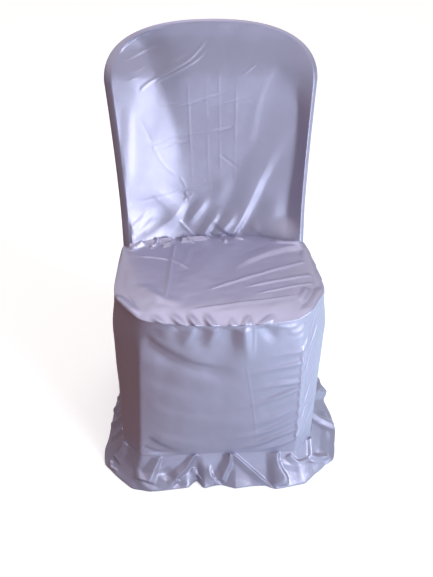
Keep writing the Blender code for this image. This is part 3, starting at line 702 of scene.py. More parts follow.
seatFolds = (  # curve in x and y
    (((-90, 106), (-96, 30), (-101, -41), (-106, -125)), 4, 2.8, 8, 0.1, 0.02, 0.15),
    (((-181, 65), (-97, 31), (-47, -24)), 2, 5, 5, 0.2, 0.2, 0.2),
    (((20, -34), (60, 10), (110, 48), (165, 80), (210, 94)), (3, 7.5), (20, 30), (9, 14), 0.3, 0.4, 0.02),
    (((-30, -98), (30, -70), (90, -40), (150, -8), (200, 21)), 3.2, 10, 3.4, 0.12, 0.25, 0.05),
    (((50, -90), (130, -64), (215, -32)), 2.6, 9, 3.2, 0.12, 0.3, 0.1),
    (((70, -115), (140, -92), (220, -60)), 2, 8, 3.2, 0.12, 0.3, 0.1),
    (((-75, -160), (20, -145), (130, -125), (190, -105)), 1.2, 3, 8, 0.2, 0.2, 0.3),
    (((-10, 118), (-18, 50), (-50, -30), (-95, -90)), 2.2, 18, 18, 0.8, 0.3, 0.3),
    (((20, 105), (8, 40), (-18, -30), (-60, -80)), 1.8, 16, 16, 0.8, 0.3, 0.4),
    (((-60, 100), (-64, 40), (-88, -20)), 1.2, 8, 8, 0.5, 0.2, 0.4),
    (((-150, -85), (-120, -120), (-70, -138)), 2.4, 12, 10, 0.5, 0.3, 0.3),
    (((-170, -55), (-135, -100), (-105, -130)), 2.2, 12, 10, 0.5, 0.3, 0.3),
    (((110, 10), (120, 40), (124, 68)), 0.8, 10, 8, 0.5, 0.3, 0.3),
    (((150, 20), (160, 48), (166, 75)), 0.8, 10, 8, 0.5, 0.3, 0.3),
    # the bunched strip where the backrest's cloth is tucked behind the seat
    (((-205, 100), (-165, 112), (-120, 122), (-88, 126)), 11, 9, 9, 0.3, 0.1, 0.1),
    (((-196, 90), (-176, 98), (-160, 112)), 7, 6, 4, 0.3, 0.2, 0.2),
    (((-150, 96), (-134, 106), (-126, 124)), 7, 6, 4, 0.3, 0.2, 0.2),
    (((-122, 100), (-106, 105), (-96, 118)), 7, 4, 6, 0.3, 0.2, 0.2),
    (((-80, 124), (-40, 132), (-5, 134)), 8.5, 9, 7, 0.3, 0.1, 0.3),
    (((-62, 130), (-52, 120), (-44, 108)), 3.5, 5, 5, 0.3, 0.1, 0.5),
    (((18, 140), (26, 126), (30, 104)), 5.5, 6, 7, 0.3, 0.1, 0.4),
    (((50, 140), (62, 130), (80, 124)), 4, 6, 6, 0.3, 0.1, 0.5),
    (((130, 118), (165, 104), (205, 98)), 5.5, 9, 9, 0.4, 0.3, 0.05),
)
seatPuckers = (  # curve in x and in distance up from the seam, over the front slope
    (((-44, 0), (-54, 16), (-70, 42)), 6.6, 6, 9, 0.4, 0.06, 0.7),
    (((-70, 0), (-84, 16), (-106, 40)), 5, 6, 9, 0.4, 0.06, 0.7),
    (((-11, 0), (-22, 16), (-36, 42)), 6.6, 6, 9, 0.4, 0.06, 0.7),
    (((46, 0), (52, 14), (62, 36)), 6, 9, 6, 0.4, 0.06, 0.7),
    (((76, 0), (90, 12), (114, 30)), 6.6, 9, 6, 0.4, 0.06, 0.7),
    (((20, 0), (22, 14), (24, 30)), 4.4, 6, 7, 0.4, 0.06, 0.7),
    (((-110, 0), (-124, 14), (-148, 28)), 4.4, 7, 8, 0.4, 0.06, 0.7),
)
cornerPuckers = (  # curve round the chair, 120 to a place, and up from the seam: the bunched front corners
    (((480, 8), (522, 14), (564, 18), (606, 16)), 9, 14, 10, 0.3, 0.3, 0.2),
    (((516, 36), (552, 42), (585.6, 48)), 4, 10, 8, 0.3, 0.3, 0.3),
    (((120, 8), (165.6, 16), (228, 16)), 7.5, 10, 14, 0.3, 0.3, 0.3),
    (((624, 6), (636, 20), (645.6, 40)), 2.4, 30, 30, 0.6, 0.1, 0.5),
    (((660, 4), (669.6, 18), (676.8, 36)), 2.4, 30, 30, 0.6, 0.1, 0.5),
    (((688.8, 4), (693.6, 16), (700.8, 30)), 2.4, 25, 25, 0.6, 0.1, 0.5),
)


def seatEdge(place, inward=0.0):
    # The seat's outline, moved in by a distance along its own normal.
    x, y = roundChair(place, 0.0)
    ahead, behind = (pair(*roundChair(place + step, 0.0)) for step in (0.01, -0.01))
    run = (ahead - behind) / np.linalg.norm(ahead - behind, axis=-1, keepdims=True)
    return pair(x - run[..., 1] * inward, y + run[..., 0] * inward)


def seatRollAt(place):
    # Radius of the rolled edge, which grows over the first place from the rear.
    return mix(chair["seatRollAtRear"], chair["seatRoll"], ease(fromRear(place)))


def seatDrop(place, distance):
    # Share of the drop from the seat's top to its seam: (1 - t) to a power, t the distance in from the
    # outline over the width of the slope, which narrows to the roll's own width at the rear. A quarter
    # circle takes the rest of the drop at the very edge.
    near = ease(fromRear(place) / seatPanel["slopeNarrowsOver"])
    width = seatRollAt(place) * mix(1.0, seatPanel["slopeWidth"], near)
    slope = (1.0 - np.clip(distance / width, 0.0, 1.0)) ** seatPanel["slopePower"]
    turned = 1.0 - np.sqrt(1.0 - (1.0 - np.clip(distance / seatPanel["roundWidth"], 0.0, 1.0)) ** 2)
    return mix(slope, turned, seatPanel["roundShare"])


def seatHeight(a, b, drop):
    # A crown, 1 - n3 across and a sine from the rear to the front, and a small lift at the front, less the
    # drop to the seam.
    crown = chair["seatCrown"] * (1 - np.abs(2 * a - 1) ** 3) * np.sin(0.9 * np.pi * b) ** 0.8
    level = seatZ + crown + chair["seatFrontLift"] * ease(b)
    return level - (level - seamZ) * drop


def pucker(x, place, up):
    # Small folds that run up from the seam, over the roll, at the front and round its corners.
    first, last = seatPanel["puckersBetween"]
    fade = seatPanel["puckersFade"]
    front = easeFrom(place, first, fade) * (1.0 - easeFrom(place, last, fade))
    fine = seatPanel["fineHeight"] * softNoise(x, up * seatPanel["fineStretch"], seatPanel["fineSize"], 21, 2)
    fine = fine * (1.0 - ease(up / seatPanel["fineUpTo"]))
    corners = foldField(place * seatPanel["placeLength"], up, cornerPuckers)
    strength = ease(up / seatPanel["puckersStart"]) * ease(fromRear(place) / seatPanel["fadeAtRear"])
    return strength * (foldField(x, up, seatPuckers) * front + fine + corners)


def nearestOnOutline(x, y):
    # For each point of the seat, the place round the chair that it lies nearest to, and how far in it is.
    places = np.linspace(0.0, rearRight, 721)
    best = np.full(x.shape, 1e9)
    place = np.zeros(x.shape)
    for at, (edgeX, edgeY) in zip(places, seatEdge(places)):
        away = np.hypot(x - edgeX, y - edgeY)
        place = np.where(away < best, at, place)
        best = np.minimum(best, away)
    return place, best


def seatTopPatch(across, deep):
    # The top: a patch between the backrest's foot and the start of the rolled edge, raised by its folds.
    first, last = seatFront

    def edge(place):
        return seatEdge(place, seatRollAt(place))

    def rear(s):
        left, right = (crestShrink(*backOutline(np.full(1, end)), True)[0][0] for end in (0.0, 1.0))
        x, z = mix(left, right, s), np.full(s.shape, seatZ)
        return pair(x, crestDepth(x, z) + bowlDepth(x, z))

    a, b = grid(across, deep)
    plan = coons(rear, lambda s: edge(mix(first, last, s)), lambda s: edge(first * s),
                 lambda s: edge(rearRight - first * s), a, b)
    x, y = plan[..., 0], plan[..., 1]
    place, distance = nearestOnOutline(x, y)
    rollWidth = seatRollAt(place)
    borders = ((np.s_[0, :], first * b), (np.s_[-1, :], rearRight - first * b),
               (np.s_[:, -1], mix(first, last, a)))
    for border, exact in borders:            # exact on the border, so that it meets the roll
        place[border] = exact[border]
        distance[border] = rollWidth[border] = seatRollAt(place[border])
    inside = ease(fromEnds(a) / seatPanel["fadeAtSides"]) * ease((1 - b) / seatPanel["fadeAtFront"])
    relief = foldField(x, y, seatFolds) * inside * ease(b / seatPanel["foldsStart"])
    relief = relief + unevenness(x, y, seatPanel) * inside * ease(b / seatPanel["unevenStart"])
    relief = relief + pucker(x, place, distance + rollWidth * (0.5 * np.pi - 1.0))
    return stack(x, y, seatHeight(a, b, seatDrop(place, distance)) + relief), plan, True


def seatRollPatch(across, deep, roll):
    # The rolled edge, a quarter turn from the top to the seam, with a narrow lip over the seam so that the
    # skirt starts in its shadow.
    first, last = seatFront
    s, k = grid(2 * deep + across, roll)
    place = alongBorder(s, deep, across, (0, first, last, rearRight))
    turn = 0.5 * np.pi * k
    width = seatRollAt(place)
    plan = mix(seatEdge(place, width), seatEdge(place), np.sin(turn)[..., None])
    x, y = plan[..., 0], plan[..., 1]
    a, b = np.clip((place - first) / (last - first), 0, 1), np.clip(fromRear(place) / first, 0, 1)
    z = seatHeight(a, b, seatDrop(place, width * (1 - np.sin(turn))))
    lift = pucker(x, place, width * (0.5 * np.pi - turn))
    start, end, rear = seatPanel["lipFades"]
    lip = seatPanel["lip"] * ease(k / start) * ease((1 - k) / end) * ease(fromRear(place) / rear)
    return pushOut(x, y, z + lift * np.cos(turn), lift * np.sin(turn) + lip), plan, True


def makeSeat(material):
    # The top and its rolled edge.
    across, deep, roll = seatPanel["cells"]
    patches = [seatTopPatch(across, deep), seatRollPatch(across, deep, roll)]
    return panelMesh("seatPanel", patches, material)


# Skirt: the front and both sides, hung from the seat seam.
skirtPanel = {
    "cells": ((0.0, 0), (1.0, 74), (2.0, 136), (4.0, 366), (5.0, 476), (6.0, 556)),   # place, cells so far
    "down": 176,
    "wrinkleHeight": 1.2, "unevenness": (0.0005, 0.12, 8),
    "fadeAtTop": 0.035, "fadeAtFoot": 0.03, "fadeAtRear": 0.10,
}
skirtFolds = (  # curve in distance round the skirt, to the right from the middle of the front, and in height
    (((-160, 384), (-110, 348), (-60, 320), (-5, 303), (45, 300)), -4, 11.2, 35.2, 0.3, 0.1, 0.35),
    (((-158, 398), (-110, 362), (-60, 334), (10, 316)), 3.5, 28.8, 16, 0.6, 0.2, 0.4),
    (((-168, 122), (-122, 88), (-78, 72)), -4, 9.6, 25.6, 0.3, 0.2, 0.5),
    (((-172, 92), (-140, 76), (-110, 70)), -2.2, 6.4, 16, 0.3, 0.05, 0.4),
    (((-140, 320), (-80, 278), (-10, 252)), -1.8, 19.2, 32, 0.6, 0.3, 0.4),
    (((-120, 190), (-60, 165), (0, 160)), -1.2, 19.2, 25.6, 0.6, 0.3, 0.4),
    (((-165, 345), (-100, 300), (-30, 272), (50, 262)), 2.2, 16, 30, 0.5, 0.2, 0.4),
    (((-165, 270), (-80, 232), (10, 214)), 1.6, 16, 30, 0.6, 0.2, 0.5),
    (((-165, 215), (-90, 178), (0, 160), (60, 170)), 2, 14, 30, 0.5, 0.2, 0.4),
    (((-20, 150), (40, 158), (110, 186)), 1.8, 24, 12, 0.5, 0.4, 0.2),
    (((-150, 130), (-90, 104), (-20, 92)), 2, 12, 24, 0.5, 0.2, 0.5),
    # short pleats under the seat seam
    (((-56, 412), (-66, 388), (-84, 362)), 3.6, 10, 22, 0.3, 0.02, 0.6),
    (((-34, 412), (-37, 382), (-50, 340)), -3.2, 14, 14, 0.5, 0.02, 0.8),
    (((-12, 412), (-20, 388), (-32, 360)), 3, 12, 18, 0.3, 0.02, 0.6),
    (((20, 412), (18, 380), (8, 330)), -3.4, 20, 18, 0.6, 0.02, 0.85),
    (((46, 412), (50, 372), (56, 310)), 7, 13, 22, 0.25, 0.02, 0.8),
    (((66, 412), (67, 375), (68, 335)), 1.2, 4, 4, 0.3, 0.02, 0.5),
    (((84, 412), (100, 388), (120, 368)), -4.2, 14, 12, 0.4, 0.02, 0.6),
    (((-100, 412), (-112, 396), (-128, 384)), 2.6, 14, 14, 0.5, 0.02, 0.6),
    (((112, 411), (138, 402), (164, 404)), 2.2, 8, 7, 0.3, 0.1, 0.3),
    (((128, 394), (156, 388), (184, 398)), 1.9, 7, 7, 0.3, 0.3, 0.3),
    (((152, 370), (170, 378), (192, 398)), 1.8, 6, 6, 0.3, 0.3, 0.3),
)
skirtWrinkles = (  # pulls from the right corner, with a narrow flank above and a broader one below: where
    # they start down the corner, curve on from there, height, width below, width above, softness, fade out
    (346, ((131, 339), (95, 332)), 2.6, 9, 5.6, 0.15, 0.6),
    (317, ((116, 306), (70, 293), (40, 288)), 3.8, 10, 7.4, 0.15, 0.6),
    (268, ((122, 262), (84, 252), (50, 244)), 3.6, 9, 7.2, 0.15, 0.6),
    (252, ((120, 228), (60, 204), (10, 192)), 4.4, 11, 8.4, 0.15, 0.65),
    (203, ((109, 168), (66, 148), (20, 138)), 4.4, 13, 9.8, 0.25, 0.6),
    (174, ((111, 137), (54, 116), (0, 106)), 3.8, 11, 7.8, 0.2, 0.6),
    (138, ((116, 112), (80, 94), (30, 74)), 4, 9, 7.8, 0.15, 0.4),
    (110, ((126, 87), (82, 74)), 3.4, 8, 6.8, 0.15, 0.4),
    (290, ((130, 280), (100, 272)), 1.8, 10, 7, 0.3, 0.6),
    (228, ((130, 206), (90, 190)), 3.4, 11, 8.6, 0.3, 0.6),
)
wrinkleStart = {"chamfer": 196, "above": 30, "corner": 169, "fadeIn": 0.22}   # each starts on the chamfer
cornerFolds = (
    # a faint long line down the front
    (((52, 320), (66, 230), (78, 140), (84, 75)), 0.3, 2.5, 2.5, 0.3, 0.1, 0.1),
    # the corner itself, pulled into a thin edge
    (((168, 360), (169, 300), (167.5, 230), (168.5, 160), (167, 85)), 1.6, 3.4, 3.4, 0.3, 0.1, 0.1),
)
cornerHatch = {
    "from": 75, "to": 350, "step": 11.5, "start": 176, "run": 72, "rise": 105,
    "height": 1.0, "widths": (1.8, 2.8),
}
sideFolds = (  # plain soft pulls on the two sides
    (((-300, 395), (-340, 250), (-360, 90)), 3, 32, 38.4, 0.6, 0.2, 0.3),
    (((-420, 400), (-430, 250), (-500, 90)), 3, 32, 38.4, 0.6, 0.2, 0.3),
    (((330, 390), (350, 250), (330, 90)), 3.5, 32, 38.4, 0.6, 0.2, 0.3),
    (((280, 280), (400, 300), (480, 370)), 2, 16, 25.6, 0.6, 0.3, 0.2),
    (((290, 210), (420, 240), (520, 320)), 2, 16, 25.6, 0.6, 0.3, 0.2),
    (((440, 350), (470, 210), (520, 90)), 3, 32, 38.4, 0.6, 0.2, 0.3),
)


def wrinkleFolds():
    # The pulls as rows like the others: each starts on the chamfer and crosses the corner.
    start = wrinkleStart
    return [(((start["chamfer"], z + start["above"]), (start["corner"], z), *onwards),
             *shape, start["fadeIn"], fadeOut) for z, onwards, *shape, fadeOut in skirtWrinkles]


def hatchFolds():
    # Fine slanting wrinkles, one above another, across the chamfer at the right front corner. Sines of
    # their number make them uneven.
    rows = []
    z = cornerHatch["from"]
    while z < cornerHatch["to"]:
        number = len(rows)
        sway = math.sin(number * 2.3)
        u = cornerHatch["start"] + 2 * sway
        run, rise = cornerHatch["run"] * (1 + 0.15 * sway), cornerHatch["rise"]
        height = cornerHatch["height"] * (1 + 0.35 * math.sin(number * 1.7))
        rows.append((((u, z), (u + 0.5 * run, z + 0.48 * rise), (u + run, z + rise)),
                     height, *cornerHatch["widths"], 0.2, 0.10, 0.35))
        z += cornerHatch["step"] * (1 + 0.25 * math.sin(number * 3.1))
    return rows


def roundStrip(panel, drop=None):
    # A strip round the chair: places, share of the way down, plan, and the length along it, which is
    # counted from the middle of the front.
    places, cells = np.array(panel["cells"], float).T
    s, k = grid(int(cells[-1]), panel["down"])
    place = np.interp(s * cells[-1], cells, places)
    x, y = roundChair(place, k if drop is None else drop, 1.0)
    steps = np.hypot(np.diff(x, axis=0), np.diff(y, axis=0))
    u = np.vstack([np.zeros((1, x.shape[1])), np.cumsum(steps, axis=0)])
    return place, k, x, y, u - u[np.abs(place[:, 0] - frontMiddle).argmin()]


def makeSkirt(material):
    # A straight drop between the two seams, pushed out by its folds, which fade at the seams.
    place, drop, x, y, u = roundStrip(skirtPanel)
    z = mix(seamZ, frillZ, drop)
    wrinkles = (*wrinkleFolds(), *cornerFolds, *hatchFolds())
    relief = foldField(u, z, skirtFolds + sideFolds) + skirtPanel["wrinkleHeight"] * foldField(u, z, wrinkles)
    relief = relief + unevenness(u, z, skirtPanel)
    seams = ease(drop / skirtPanel["fadeAtTop"]) * ease((1 - drop) / skirtPanel["fadeAtFoot"])
    push = relief * seams * ease(fromRear(place) / skirtPanel["fadeAtRear"])
    return panelMesh("skirtPanel", [(pushOut(x, y, z, push), pair(u, z), True)], material)


# Frill: a gathered flounce that flares to the floor.
frillPanel = {
    "cells": ((0.0, 0), (1.0, 110), (2.0, 190), (4.0, 500), (5.0, 600), (6.0, 740), (8.0, 870)),
    "down": 72,
    "length": 0.09,                          # from the seam to the hem along the slope
    "foldOut": 0.50, "foldUp": 0.75,         # shares of a fold's height that push the cloth out and up
    "foldsStart": 0.006, "flatter": 0.55, "flatterFrom": (0.060, 0.030), "levelFrom": (0.080, 0.010),
    "unevenness": (0.0005, 0.08, 14),
}
frillSpread = (  # place, how far the hem stands out from the seam
    (0.00, 0.030), (0.42, 0.032), (0.57, 0.040), (0.70, 0.043), (0.84, 0.046), (0.92, 0.052), (1.20, 0.046),
    (1.50, 0.044), (1.80, 0.042), (2.00, 0.042), (2.19, 0.045), (2.38, 0.041), (2.58, 0.038), (2.69, 0.018),
    (2.78, 0.044), (2.99, 0.035), (3.20, 0.048), (3.41, 0.041), (3.62, 0.040), (3.72, 0.052), (3.94, 0.045),
    (4.10, 0.044), (4.40, 0.044), (4.60, 0.048), (4.80, 0.050), (4.95, 0.058), (5.06, 0.068), (5.18, 0.080),
    (5.31, 0.078), (5.44, 0.068), (5.52, 0.084), (5.60, 0.070), (5.80, 0.068), (6.00, 0.064), (6.40, 0.052),
    (7.00, 0.048), (7.60, 0.040), (8.00, 0.030),
)
# Shares of the spread that are reached, and of the height that are left, on the way down.
frillReach = ((0.0, 0.0), (0.2, 0.18), (0.45, 0.44), (0.7, 0.76), (0.88, 0.96), (0.96, 1.0), (1.0, 0.97))
frillFall = ((0.0, 1.0), (0.2, 0.76), (0.45, 0.46), (0.7, 0.20), (0.88, 0.06), (0.96, 0.015), (1.0, 0.0))
frillFolds = (  # curve in distance round the seam, from the middle of the front, and down from the seam
    (((-276, 3), (-283, 30), (-292, 66)), 8, 12, 7, 0.2, 0.02, 0.2),
    (((-233, 2), (-231, 28), (-236, 53)), (8, 11), 5, (10, 16), 0.15, 0.02, 0.12),
    (((-237, 60), (-229, 75), (-214, 68)), 4, 5, 4, 0.2, 0.2, 0.3),
    (((-132, 2), (-143, 35), (-151, 64)), (7, 12), (14, 24), (4, 9), 0.15, 0.02, 0.08),
    (((-178, 26), (-161, 63), (-144, 87)), (3, 8), 10, (4, 12), 0.2, 0.25, 0.02),
    (((-53, 1), (-73, 32), (-98, 55), (-92, 66)), 9.5, (12, 18), 6, 0.15, 0.02, 0.1),
    (((-63, 36), (-57, 48), (-51, 60), (-38, 66)), 6, 6, 4, 0.3, 0.2, 0.3),
    (((-132, 30), (-103, 58), (-85, 84)), -4.5, 10, 12, 0.4, 0.2, 0.1),
    (((-22, 24), (-22, 48), (-11, 70), (1, 89)), (5, 8), 14, 5, 0.15, 0.3, 0.02),
    (((23, 1), (23, 25), (12, 48), (2, 74)), 10, (14, 22), (4, 8), 0.15, 0.02, 0.1),
    (((27, 1), (61, 33), (89, 60), (116, 89)), (8, 11), 12, 5, 0.15, 0.02, 0.02),
    (((130, 1), (130, 26), (141, 58), (139, 80)), (9, 12), 24, 5, 0.15, 0.02, 0.08),
    (((130, 20), (144, 30), (197, 54), (225, 80)), 3, 10, 6, 0.3, 0.1, 0.2),
    (((154, 6), (166, 26), (184, 36), (204, 42)), 5.5, 10, 5, 0.2, 0.1, 0.2),
    (((176, 30), (180, 55), (187, 86)), 4.5, 22, 20, 0.5, 0.5, 0.02),
    (((224, 2), (209, 30), (205, 40), (214, 54), (232, 70)), 8.5, 7, 9, 0.2, 0.05, 0.1),
    (((272, 4), (276, 36), (280, 70)), 6.4, 19.2, 16.8, 0.2, 0.1, 0.3),
    (((313, 6), (312, 38), (315, 80)), 13.7, 9.6, 21, 0.2, 0.03, 0.1),
    (((372, 8), (400, 40), (440, 84)), 17, 12, 14.7, 0.2, 0.05, 0.08),
    (((340, 10), (348, 40), (350, 70)), 7, 12, 6, 0.2, 0.1, 0.2),
    (((425, 2), (420, 30), (412, 60)), 8, 6, 14, 0.2, 0.05, 0.2),
    (((520, 20), (524, 50), (534, 84)), 8, 12, 6, 0.2, 0.1, 0.08),
)
frillRows = (  # plainer folds: three distances down, softness and fades, then for each its three distances
    # round, height and widths
    ((2, 40, 80), (0.2, 0.05, 0.1), (
        (470, 478, 480, 12.8, 14.4, 18.9), (560, 556, 566, 11.6, 16.8, 12.6), (640, 650, 656, 11.6, 12, 14.7),
        (705, 700, 690, 13.7, 12, 12.6), (770, 780, 800, 12.8, 9.6, 14.7), (850, 846, 832, 13.7, 12, 10.5),
        (915, 925, 940, 11.6, 12, 12.6), (990, 984, 990, 12.8, 12, 12.6), (1050, 1046, 1040, 10.6, 12, 10.5),
        (-620, -624, -632, 10.6, 12, 12.6), (-545, -536, -528, 12.8, 12, 12.6),
        (-470, -474, -490, 11.6, 12, 12.6), (-400, -392, -394, 12.8, 12, 12.6),
        (-330, -336, -350, 10.6, 12, 12.6))),
    ((2, 30, 64), (0.2, 0.05, 0.2), (
        (602, 604, 612, 8, 6, 12), (812, 815, 812, 8, 6, 12), (955, 960, 966, 8, 6, 12),
        (-508, -504, -506, 8, 6, 12), (-364, -368, -372, 8, 6, 12))),
    ((10, 40, 80), (0.2, 0.1, 0.08), (
        (738, 740, 734, 8, 12, 6), (882, 884, 890, 8, 12, 6), (-580, -582, -576, 8, 12, 6),
        (-436, -432, -442, 8, 12, 6))),
)


def plainFrillFolds():
    # The plainer folds as rows like the others.
    return tuple((tuple(zip(row[:3], down)), *row[3:], *ends)
                 for down, ends, rows in frillRows for row in rows)


def makeFrill(material):
    # The cloth falls to the hem and reaches out by two short tables. Its folds push it out and up, and get
    # flatter towards the hem, which lies level.
    place, k, x, y, u = roundStrip(frillPanel, 1.0)
    v = k * frillPanel["length"]
    relief = foldField(u, v, frillFolds + plainFrillFolds())
    relief = (relief + unevenness(u, v, frillPanel)) * ease(v / frillPanel["foldsStart"])
    relief = relief * (1.0 - frillPanel["flatter"] * easeFrom(v, *frillPanel["flatterFrom"]))
    fall, reach = smoothTable(k, frillFall, 0.03), smoothTable(k, frillReach, 0.03)
    fall = (fall - fall.min()) / (fall.max() - fall.min())
    spread = smoothTable(place, frillSpread, period=wholeTurn)
    up = frillPanel["foldUp"] * relief * (1.0 - easeFrom(v, *frillPanel["levelFrom"]))
    z = mix(chair["hem"], frillZ, fall) + up
    points = pushOut(x, y, z, spread * (reach - reach.min()) + frillPanel["foldOut"] * relief)
    return panelMesh("frillPanel", [(points, pair(u, v), True)], material)


# Cloth: a lavender grey satin, closely woven, with a soft broad gloss.
satinCloth = {
    "colour": (0.340, 0.328, 0.472), "deepColour": (0.325, 0.311, 0.449),
    "roughness": (0.32, 0.37),               # least and most over the cloth
    "metallic": 0.42, "specular": 0.60,
    "thread": 0.00035, "threadDepth": 0.00004,   # metres
    "mottleSize": 0.06, "slubSize": 0.0012,
}
mixFrom, mixTo, mixResult = 6, 7, 2          # the colour sockets of a mix node


def nodeGroup(name, inputs, output):
    # An empty group with named sockets, what it is given and what it puts out. Inputs are (name, kind).
    group = bpy.data.node_groups.new(name, "ShaderNodeTree")
    for label, kind in inputs:
        group.interface.new_socket(label, in_out="INPUT", socket_type=kind)
    group.interface.new_socket(output, in_out="OUTPUT", socket_type="NodeSocketFloat")
    return group, group.nodes.new("NodeGroupInput").outputs, group.nodes.new("NodeGroupOutput").inputs[output]


def addNode(tree, kind, inputs=(), **settings):
    # A node with its settings, and with each named input linked to a socket or set to a value.
    node = tree.nodes.new(kind)
    for name, value in settings.items():
        setattr(node, name, value)
    for name, value in dict(inputs).items():
        if isinstance(value, bpy.types.NodeSocket):
            tree.links.new(value, node.inputs[name])
        else:
            node.inputs[name].default_value = value
    return node


def scaleDown(group, vector, size):
    # A vector divided by a length.
    share = addNode(group, "ShaderNodeMath", {0: 1.0, 1: size}, operation="DIVIDE")
    scaled = addNode(group, "ShaderNodeVectorMath", {0: vector, "Scale": share.outputs[0]}, operation="SCALE")
    return scaled.outputs[0]


def makeWeaveGroup():
    # Satin floats: rows of long threads, each row stepped two fifths along, as the height of the threads.
    inputs = [("Cloth", "NodeSocketVector"), ("Thread", "NodeSocketFloat")]
    group, given, result = nodeGroup("satinWeave", inputs, "Height")
    floats = addNode(group, "ShaderNodeTexBrick", {
        "Vector": scaleDown(group, given["Cloth"], given["Thread"]), "Scale": 1.0, "Mortar Size": 0.16,
        "Mortar Smooth": 1.0, "Brick Width": 5.0, "Row Height": 1.0}, offset=0.4, offset_frequency=1)
    height = addNode(group, "ShaderNodeMath", {0: 1.0, 1: floats.outputs["Fac"]}, operation="SUBTRACT")
    group.links.new(height.outputs[0], result)
    return group


def makeNoiseGroup(name, stretch, detail):
    # Noise of one size over the cloth, 0 to 1, drawn out along an axis whose scale is under 1.
    inputs = [("Place", "NodeSocketVector"), ("Size", "NodeSocketFloat")]
    group, given, result = nodeGroup(name, inputs, "Noise")
    drawn = addNode(group, "ShaderNodeMapping", {"Vector": given["Place"], "Scale": stretch})
    noise = addNode(group, "ShaderNodeTexNoise", {
        "Vector": scaleDown(group, drawn.outputs[0], given["Size"]), "Scale": 1.0, "Detail": detail})
    group.links.new(noise.outputs["Fac"], result)
    return group


weaveGroup = makeWeaveGroup()
slubGroup = makeNoiseGroup("threadSlubs", (1.0, 0.03, 1.0), 2.0)    # short thin streaks along the warp
mottleGroup = makeNoiseGroup("clothMottle", (1.0, 1.0, 1.0), 3.0)   # a slow change of shade


def emptyMaterial(name):
    # A material with no nodes, and its tree.
    material = bpy.data.materials.new(name)
    material.use_nodes = True
    material.node_tree.nodes.clear()
    return material, material.node_tree


def makeSatin(name, paintedLightAndShade):
    # Two close shades mixed by the mottle, a roughness that varies with the slubs, and the weave as a bump.
    material, tree = emptyMaterial(name)
    place = addNode(tree, "ShaderNodeTexCoord").outputs["Object"]
    cloth = addNode(tree, "ShaderNodeUVMap", uv_map="cloth").outputs["UV"]
    weave = addNode(tree, "ShaderNodeGroup", {
        "Cloth": cloth, "Thread": satinCloth["thread"]}, node_tree=weaveGroup)
    slubs = addNode(tree, "ShaderNodeGroup", {
        "Place": cloth, "Size": satinCloth["slubSize"]}, node_tree=slubGroup)
    mottle = addNode(tree, "ShaderNodeGroup", {
        "Place": place, "Size": satinCloth["mottleSize"]}, node_tree=mottleGroup)
    # Both colours are scaled by the piece's painted light and shade, a lighter or darker copy of the one
    # cloth.
    light, deep = ((*(paintedLightAndShade * part for part in satinCloth[key]), 1.0) for key in ("colour", "deepColour"))
    colour = addNode(tree, "ShaderNodeMix", {
        "Factor": mottle.outputs["Noise"], mixFrom: light, mixTo: deep}, data_type="RGBA")
    least, most = satinCloth["roughness"]
    rough = addNode(tree, "ShaderNodeMapRange", {
        "Value": slubs.outputs["Noise"], "From Min": 0.3, "From Max": 0.7, "To Min": least, "To Max": most})
    bump = addNode(tree, "ShaderNodeBump", {
        "Height": weave.outputs["Height"], "Distance": satinCloth["threadDepth"], "Strength": 1.0})
    shader = addNode(tree, "ShaderNodeBsdfPrincipled", {
        "Base Color": colour.outputs[mixResult], "Roughness": rough.outputs["Result"],
        "Normal": bump.outputs["Normal"], "Metallic": satinCloth["metallic"],
        "Specular IOR Level": satinCloth["specular"]})
    addNode(tree, "ShaderNodeOutputMaterial", {"Surface": shader.outputs["BSDF"]})
    return material


panels = (  # piece, the CAD node that it replaces, painted light and shade, flat size, how it is held
    (makeInsideBack, "inside_back", "insideBackSatin", 0.95, (0.54, 0.52), "stretched"),
    (makeOutsideBack, "outside_back", "outsideBackSatin", 1.0, (0.54, 0.88), "stretched"),
    (makeSeat, "seat", "seatSatin", 1.08, (0.48, 0.36), "stretched"),
    (makeSkirt, "skirt", "skirtSatin", 1.0, (1.24, 0.36), "hung"),
    (makeFrill, "frill", "frillSatin", 0.88, (2.20, 0.10), "gathered"),
)
# The cloth's colour is scaled per piece: painted shade darkens the inside back and the frill, painted light
# brightens the seat.
for make, node, finish, paintedLightAndShade, flat, held in panels:
    piece = make(makeSatin(finish, paintedLightAndShade))
    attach(piece, "root")
    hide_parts(node)
    print("made", piece.name, len(piece.data.polygons), "quads,",
          round(sum(face.area for face in piece.data.polygons), 4), "square metres")


